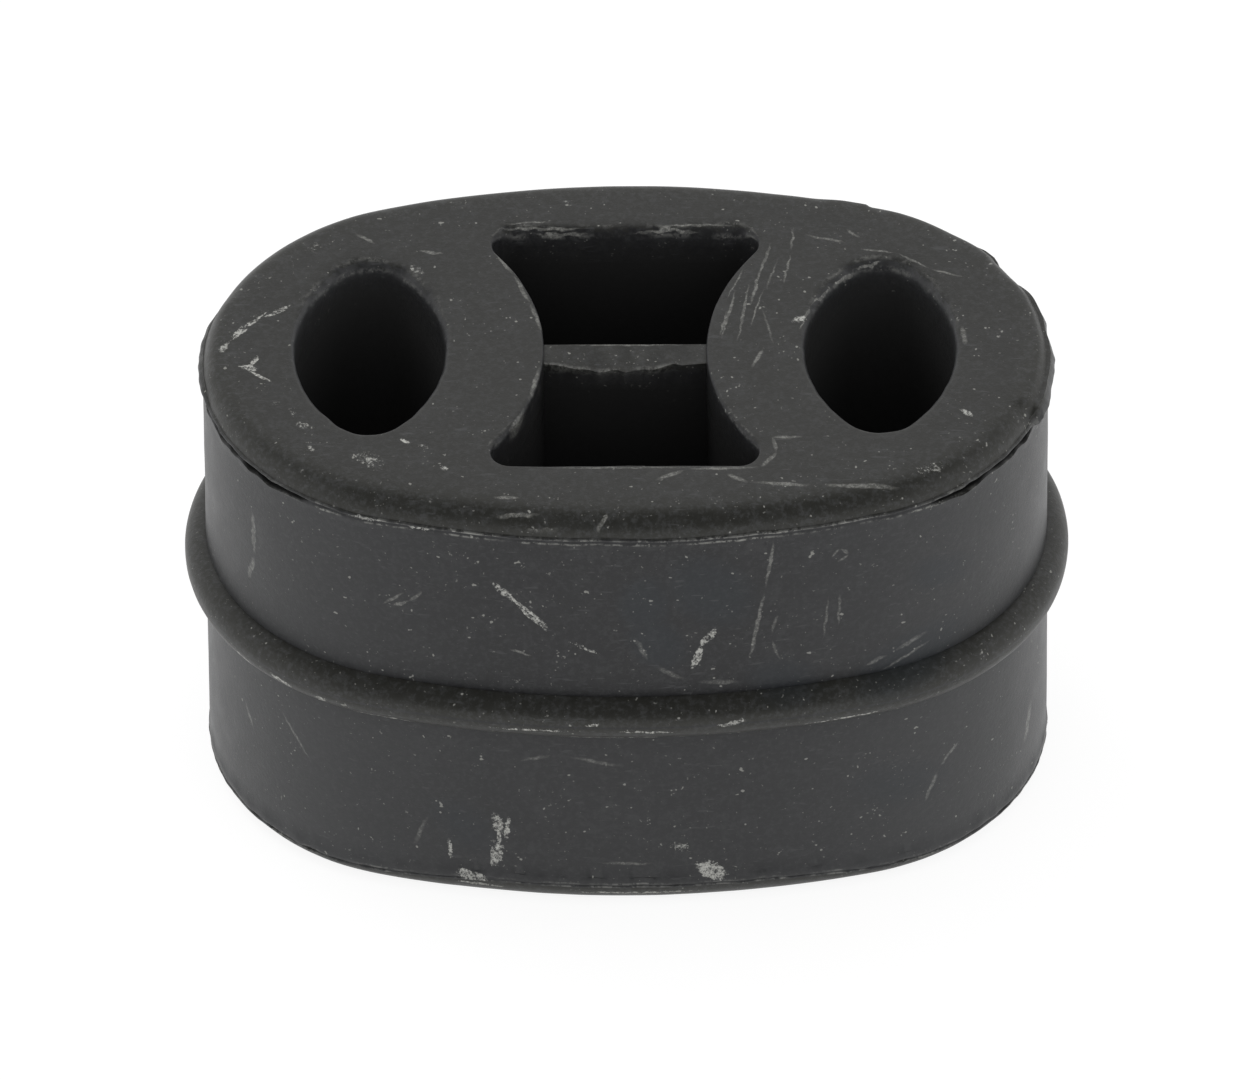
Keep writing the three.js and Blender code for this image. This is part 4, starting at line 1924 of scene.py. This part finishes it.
    def lint(self, sheet: NodeSheet, at: bpy.types.NodeSocket) -> bpy.types.NodeSocket:
        """Short faint scratches in two directions.

        Args:
            sheet: The material's nodes.
            at: The surface point, in millimetres.

        Returns:
            A share from 0 to 1.
        """
        total: object = 0.0
        for turn in self.lint_turns:
            tilt = sheet.add("ShaderNodeMapping")
            sheet.put(tilt.inputs["Vector"], at)
            angle = math.radians(turn)
            tilt.inputs["Rotation"].default_value = (angle, angle * self.lint_lean, angle)
            tilt.inputs["Scale"].default_value = self.lint_stretch
            streaks = sheet.rise(sheet.noise(tilt.outputs[0], self.lint_cloud), *self.lint_band)
            total = sheet.math("MAXIMUM", total, streaks)
        return total

    def body_colour(
        self,
        sheet: NodeSheet,
        at: bpy.types.NodeSocket,
        coarse: bpy.types.NodeSocket,
        fine: bpy.types.NodeSocket,
    ) -> bpy.types.NodeSocket:
        """The colour of the moulding without its marks, by zone, with painted light on the wall and rims and
        painted shade in the openings and recesses.

        Args:
            sheet: The material's nodes.
            at: The surface point, in millimetres.
            coarse: Cloudy noise.
            fine: Fine noise.

        Returns:
            The colour.
        """
        # The faces and the wall get colours by which way the surface faces, a split that is partly painted
        # light
        normal = sheet.add("ShaderNodeSeparateXYZ")
        sheet.put(normal.inputs[0], sheet.add("ShaderNodeNewGeometry").outputs["True Normal"])
        flat = sheet.rise(sheet.math("ABSOLUTE", normal.outputs["Z"]), *self.flat_band)
        place = sheet.add("ShaderNodeSeparateXYZ")
        sheet.put(place.inputs[0], at)
        # Painted light: the wall lightens towards its ends as a painted sheen, and below the bead as painted
        # floor light
        near_end = sheet.rise(sheet.math("ABSOLUTE", place.outputs["X"]), *self.end_band)
        foot = sheet.math("MULTIPLY", sheet.rise(place.outputs["Z"], *self.foot_band), self.foot_painted_light)
        painted_light_share = sheet.math("MULTIPLY_ADD", near_end, self.end_painted_sheen, foot)
        colour = sheet.blend(flat, sheet.blend(painted_light_share, self.wall, self.bloom_and_painted_light), self.face)
        # The rims, the bead and the web's edges take their own colour, lifted as painted light
        rim = sheet.zone(Zone.RIM)
        colour = sheet.blend(rim, colour, self.rim)
        clouds = sheet.rise(coarse, *self.cloud_band)
        colour = sheet.blend(sheet.math("MULTIPLY", clouds, self.cloud_share), colour, self.bloom_and_painted_light)
        worn = sheet.math("MULTIPLY_ADD", rim, self.rim_mottle, self.mottle_share)
        mottle = sheet.math("MULTIPLY", sheet.rise(fine, *self.mottle_band), worn)
        colour = sheet.blend(mottle, colour, self.bloom_and_painted_light)
        # Painted shade: the flat inside colour deep in the openings
        colour = sheet.blend(sheet.zone(Zone.INSIDE), colour, self.inside)
        # Painted shade: near-black in the crevices, the pockets and on the web's recessed face
        colour = sheet.blend(sheet.zone(Zone.CREASE), colour, self.painted_recess_shade)
        patches, grit = self.scuff_bands
        broken = sheet.math("MULTIPLY", sheet.rise(coarse, *patches), sheet.rise(fine, *grit))
        return sheet.blend(sheet.math("MULTIPLY", sheet.zone(Zone.SCUFF), broken), colour, self.dust)


@dataclass(frozen=True)
class Card:
    """A flat board, seen only in reflections, with its corners in metres."""

    name: str
    corners: tuple[tuple[float, float, float], ...]
    shade: float


@dataclass(frozen=True)
class Lamp:
    """A square soft lamp that faces the object, placed in metres from the object's middle."""

    name: str
    place: tuple[float, float, float]
    size: float
    power: float


@dataclass
class Studio:
    """A white floor and surround, dark boards in front and overhead, soft lamps, and the camera.

    Attributes:
        elevation: How far down the camera looks, in degrees.
        turn: How far it stands to the left, in degrees.
        roll: How far it is rolled, in degrees.
        distance: How far it stands from the object's middle, in metres.
        lens: Focal length in millimetres.
        sensor: Sensor width in millimetres.
        aim_right: How far right of the object's middle it aims, in millimetres.
        aim_up: How far above that middle it aims.
        clip: Nearest and farthest things it sees, in metres.
        floor_size: The floor's width in metres.
        floor_gap: How far the floor lies below the object, in metres.
        floor_light: The floor's own brightness for the light that it throws on.
        floor_shade: Its brightness, seen, that falls away in shadow.
        floor_glow: Its brightness, seen, that doesn't.
        surround: The surround's strength for the light that it throws on.
        cards: The dark boards.
        lamps: The lamps.
    """

    elevation: float = 40.0
    turn: float = -0.43
    roll: float = 0.51
    distance: float = 2.165
    lens: float = 842.5
    sensor: float = 36.0
    aim_right: float = 0.059
    aim_up: float = 0.081
    clip: Band = (0.1, 20.0)
    floor_size: float = 6.0
    floor_gap: float = 0.00002
    floor_light: float = 0.8
    floor_shade: float = 0.2
    floor_glow: float = 0.88
    surround: float = 0.75
    cards: tuple[Card, ...] = (
        Card("front board", ((-3, -2.7, 0.2), (3, -2.7, 0.2), (3, -2.7, 2.7), (-3, -2.7, 2.7)), 0.02),
        Card("top board", ((-3, -2.7, 2.7), (3, -2.7, 2.7), (3, 0.9, 2.7), (-3, 0.9, 2.7)), 0.02),
    )
    lamps: tuple[Lamp, ...] = (
        Lamp("key", (-0.45, 0.35, 0.75), 0.6, 1.2),
        Lamp("fill", (0.6, -0.5, 0.5), 0.6, 0.5),
    )

    def build(self, middle: Vector) -> None:
        """Makes the whole studio.

        Args:
            middle: The middle of the object, in metres.
        """
        self.camera(middle)
        self.world()
        self.floor()
        for card in self.cards:
            self.card(card)
        for lamp in self.lamps:
            self.lamp(lamp, middle)

    def camera(self, middle: Vector) -> None:
        """Places the camera.

        Args:
            middle: The middle of the object, in metres.
        """
        tilt, turn, roll = (math.radians(angle) for angle in (self.elevation, self.turn, self.roll))
        right = Vector((math.cos(turn), -math.sin(turn), 0.0))
        ahead = Vector((math.sin(turn), math.cos(turn), 0.0))
        up = ahead * math.sin(tilt) + Vector((0.0, 0.0, math.cos(tilt)))
        back = Vector((0.0, 0.0, math.sin(tilt))) - ahead * math.cos(tilt)
        rolled_right = right * math.cos(roll) - up * math.sin(roll)
        rolled_up = right * math.sin(roll) + up * math.cos(roll)
        target = middle + (right * self.aim_right + up * self.aim_up) * MM
        data = bpy.data.cameras.new("camera")
        data.lens = self.lens
        data.sensor_width = self.sensor
        data.clip_start, data.clip_end = self.clip
        camera = bpy.data.objects.new("camera", data)
        pose = Matrix((rolled_right, rolled_up, back)).transposed().to_4x4()
        pose.translation = target + back * self.distance
        camera.matrix_world = pose
        bpy.context.scene.collection.objects.link(camera)
        bpy.context.scene.camera = camera

    @staticmethod
    def seen(tree: bpy.types.NodeTree) -> bpy.types.NodeSocket:
        """Tells rays that show a thing from rays that only carry light.

        Args:
            tree: The nodes to add to.

        Returns:
            1 for rays from the camera, off glossy surfaces or through clear ones, and 0 for others.
        """
        path = tree.nodes.new("ShaderNodeLightPath")
        total = path.outputs["Is Camera Ray"]
        for name in ("Is Glossy Ray", "Is Transmission Ray"):
            node = tree.nodes.new("ShaderNodeMath")
            node.operation = "MAXIMUM"
            tree.links.new(total, node.inputs[0])
            tree.links.new(path.outputs[name], node.inputs[1])
            total = node.outputs[0]
        return total

    def world(self) -> None:
        """A white surround that lights the object evenly."""
        world = bpy.data.worlds.new("surround")
        world.use_nodes = True
        tree = world.node_tree
        tree.nodes.clear()
        background = tree.nodes.new("ShaderNodeBackground")
        strength = tree.nodes.new("ShaderNodeMapRange")
        tree.links.new(self.seen(tree), strength.inputs["Value"])
        strength.inputs["To Min"].default_value = self.surround
        strength.inputs["To Max"].default_value = 1.0
        tree.links.new(strength.outputs["Result"], background.inputs["Strength"])
        background.inputs["Color"].default_value = (1.0, 1.0, 1.0, 1.0)
        output = tree.nodes.new("ShaderNodeOutputWorld")
        tree.links.new(background.outputs[0], output.inputs["Surface"])
        bpy.context.scene.world = world

    def floor(self) -> None:
        """A plain white floor that keeps a faint shadow of the object."""
        sheet = NodeSheet("white_floor")
        plain = sheet.diffuse(self.floor_light)
        shaded = sheet.diffuse(self.floor_shade)
        glow = sheet.add("ShaderNodeEmission")
        glow.inputs["Strength"].default_value = self.floor_glow
        both = sheet.add("ShaderNodeAddShader")
        sheet.put(both.inputs[0], shaded.outputs[0])
        sheet.put(both.inputs[1], glow.outputs[0])
        pick = sheet.add("ShaderNodeMixShader")
        sheet.put(pick.inputs[0], self.seen(sheet.tree))
        sheet.put(pick.inputs[1], plain.outputs[0])
        sheet.put(pick.inputs[2], both.outputs[0])
        sheet.put(sheet.output.inputs["Surface"], pick.outputs[0])
        half, z = self.floor_size / 2, -self.floor_gap
        corners = ((-half, -half, z), (half, -half, z), (half, half, z), (-half, half, z))
        self.board("floor", corners, sheet.material)

    @staticmethod
    def board(name: str, corners: Sequence[tuple], material: bpy.types.Material) -> bpy.types.Object:
        """A flat four-sided piece of the studio.

        Args:
            name: Its name.
            corners: Its corners in metres.
            material: Its material.

        Returns:
            The object.
        """
        mesh = bpy.data.meshes.new(name)
        mesh.from_pydata(corners, [], [(0, 1, 2, 3)])
        mesh.materials.append(material)
        board = bpy.data.objects.new(name, mesh)
        bpy.context.scene.collection.objects.link(board)
        return board

    def card(self, card: Card) -> None:
        """Puts up a board that only reflections show.

        Args:
            card: The board.
        """
        sheet = NodeSheet(card.name)
        sheet.put(sheet.output.inputs["Surface"], sheet.diffuse(card.shade).outputs[0])
        board = self.board(card.name, card.corners, sheet.material)
        board.visible_camera = False
        board.visible_diffuse = False
        board.visible_transmission = False
        board.visible_shadow = False

    @staticmethod
    def lamp(lamp: Lamp, middle: Vector) -> None:
        """Hangs a lamp.

        Args:
            lamp: The lamp.
            middle: The middle of the object.
        """
        place = Vector(lamp.place)
        data = bpy.data.lights.new(lamp.name, "AREA")
        data.size = lamp.size
        data.energy = lamp.power
        light = bpy.data.objects.new(lamp.name, data)
        light.location = middle + place
        light.rotation_euler = place.to_track_quat("Z", "Y").to_euler()
        light.visible_glossy = False
        bpy.context.scene.collection.objects.link(light)


def main() -> None:
    """Builds the studio and the dressed hanger."""
    logging.basicConfig(level=logging.INFO, format="%(message)s")
    scene = bpy.context.scene
    scene.view_settings.view_transform = "Standard"
    low, high = cad_bounds
    Studio().build((low + high) / 2)
    block = HangerBlock(WornRubber().material()).build()
    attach(block, BODY)
    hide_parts(NODE)
    LOG.info("%s: %d points, %d faces", block.name, len(block.data.vertices), len(block.data.polygons))


if __name__ == "__main__":
    main()
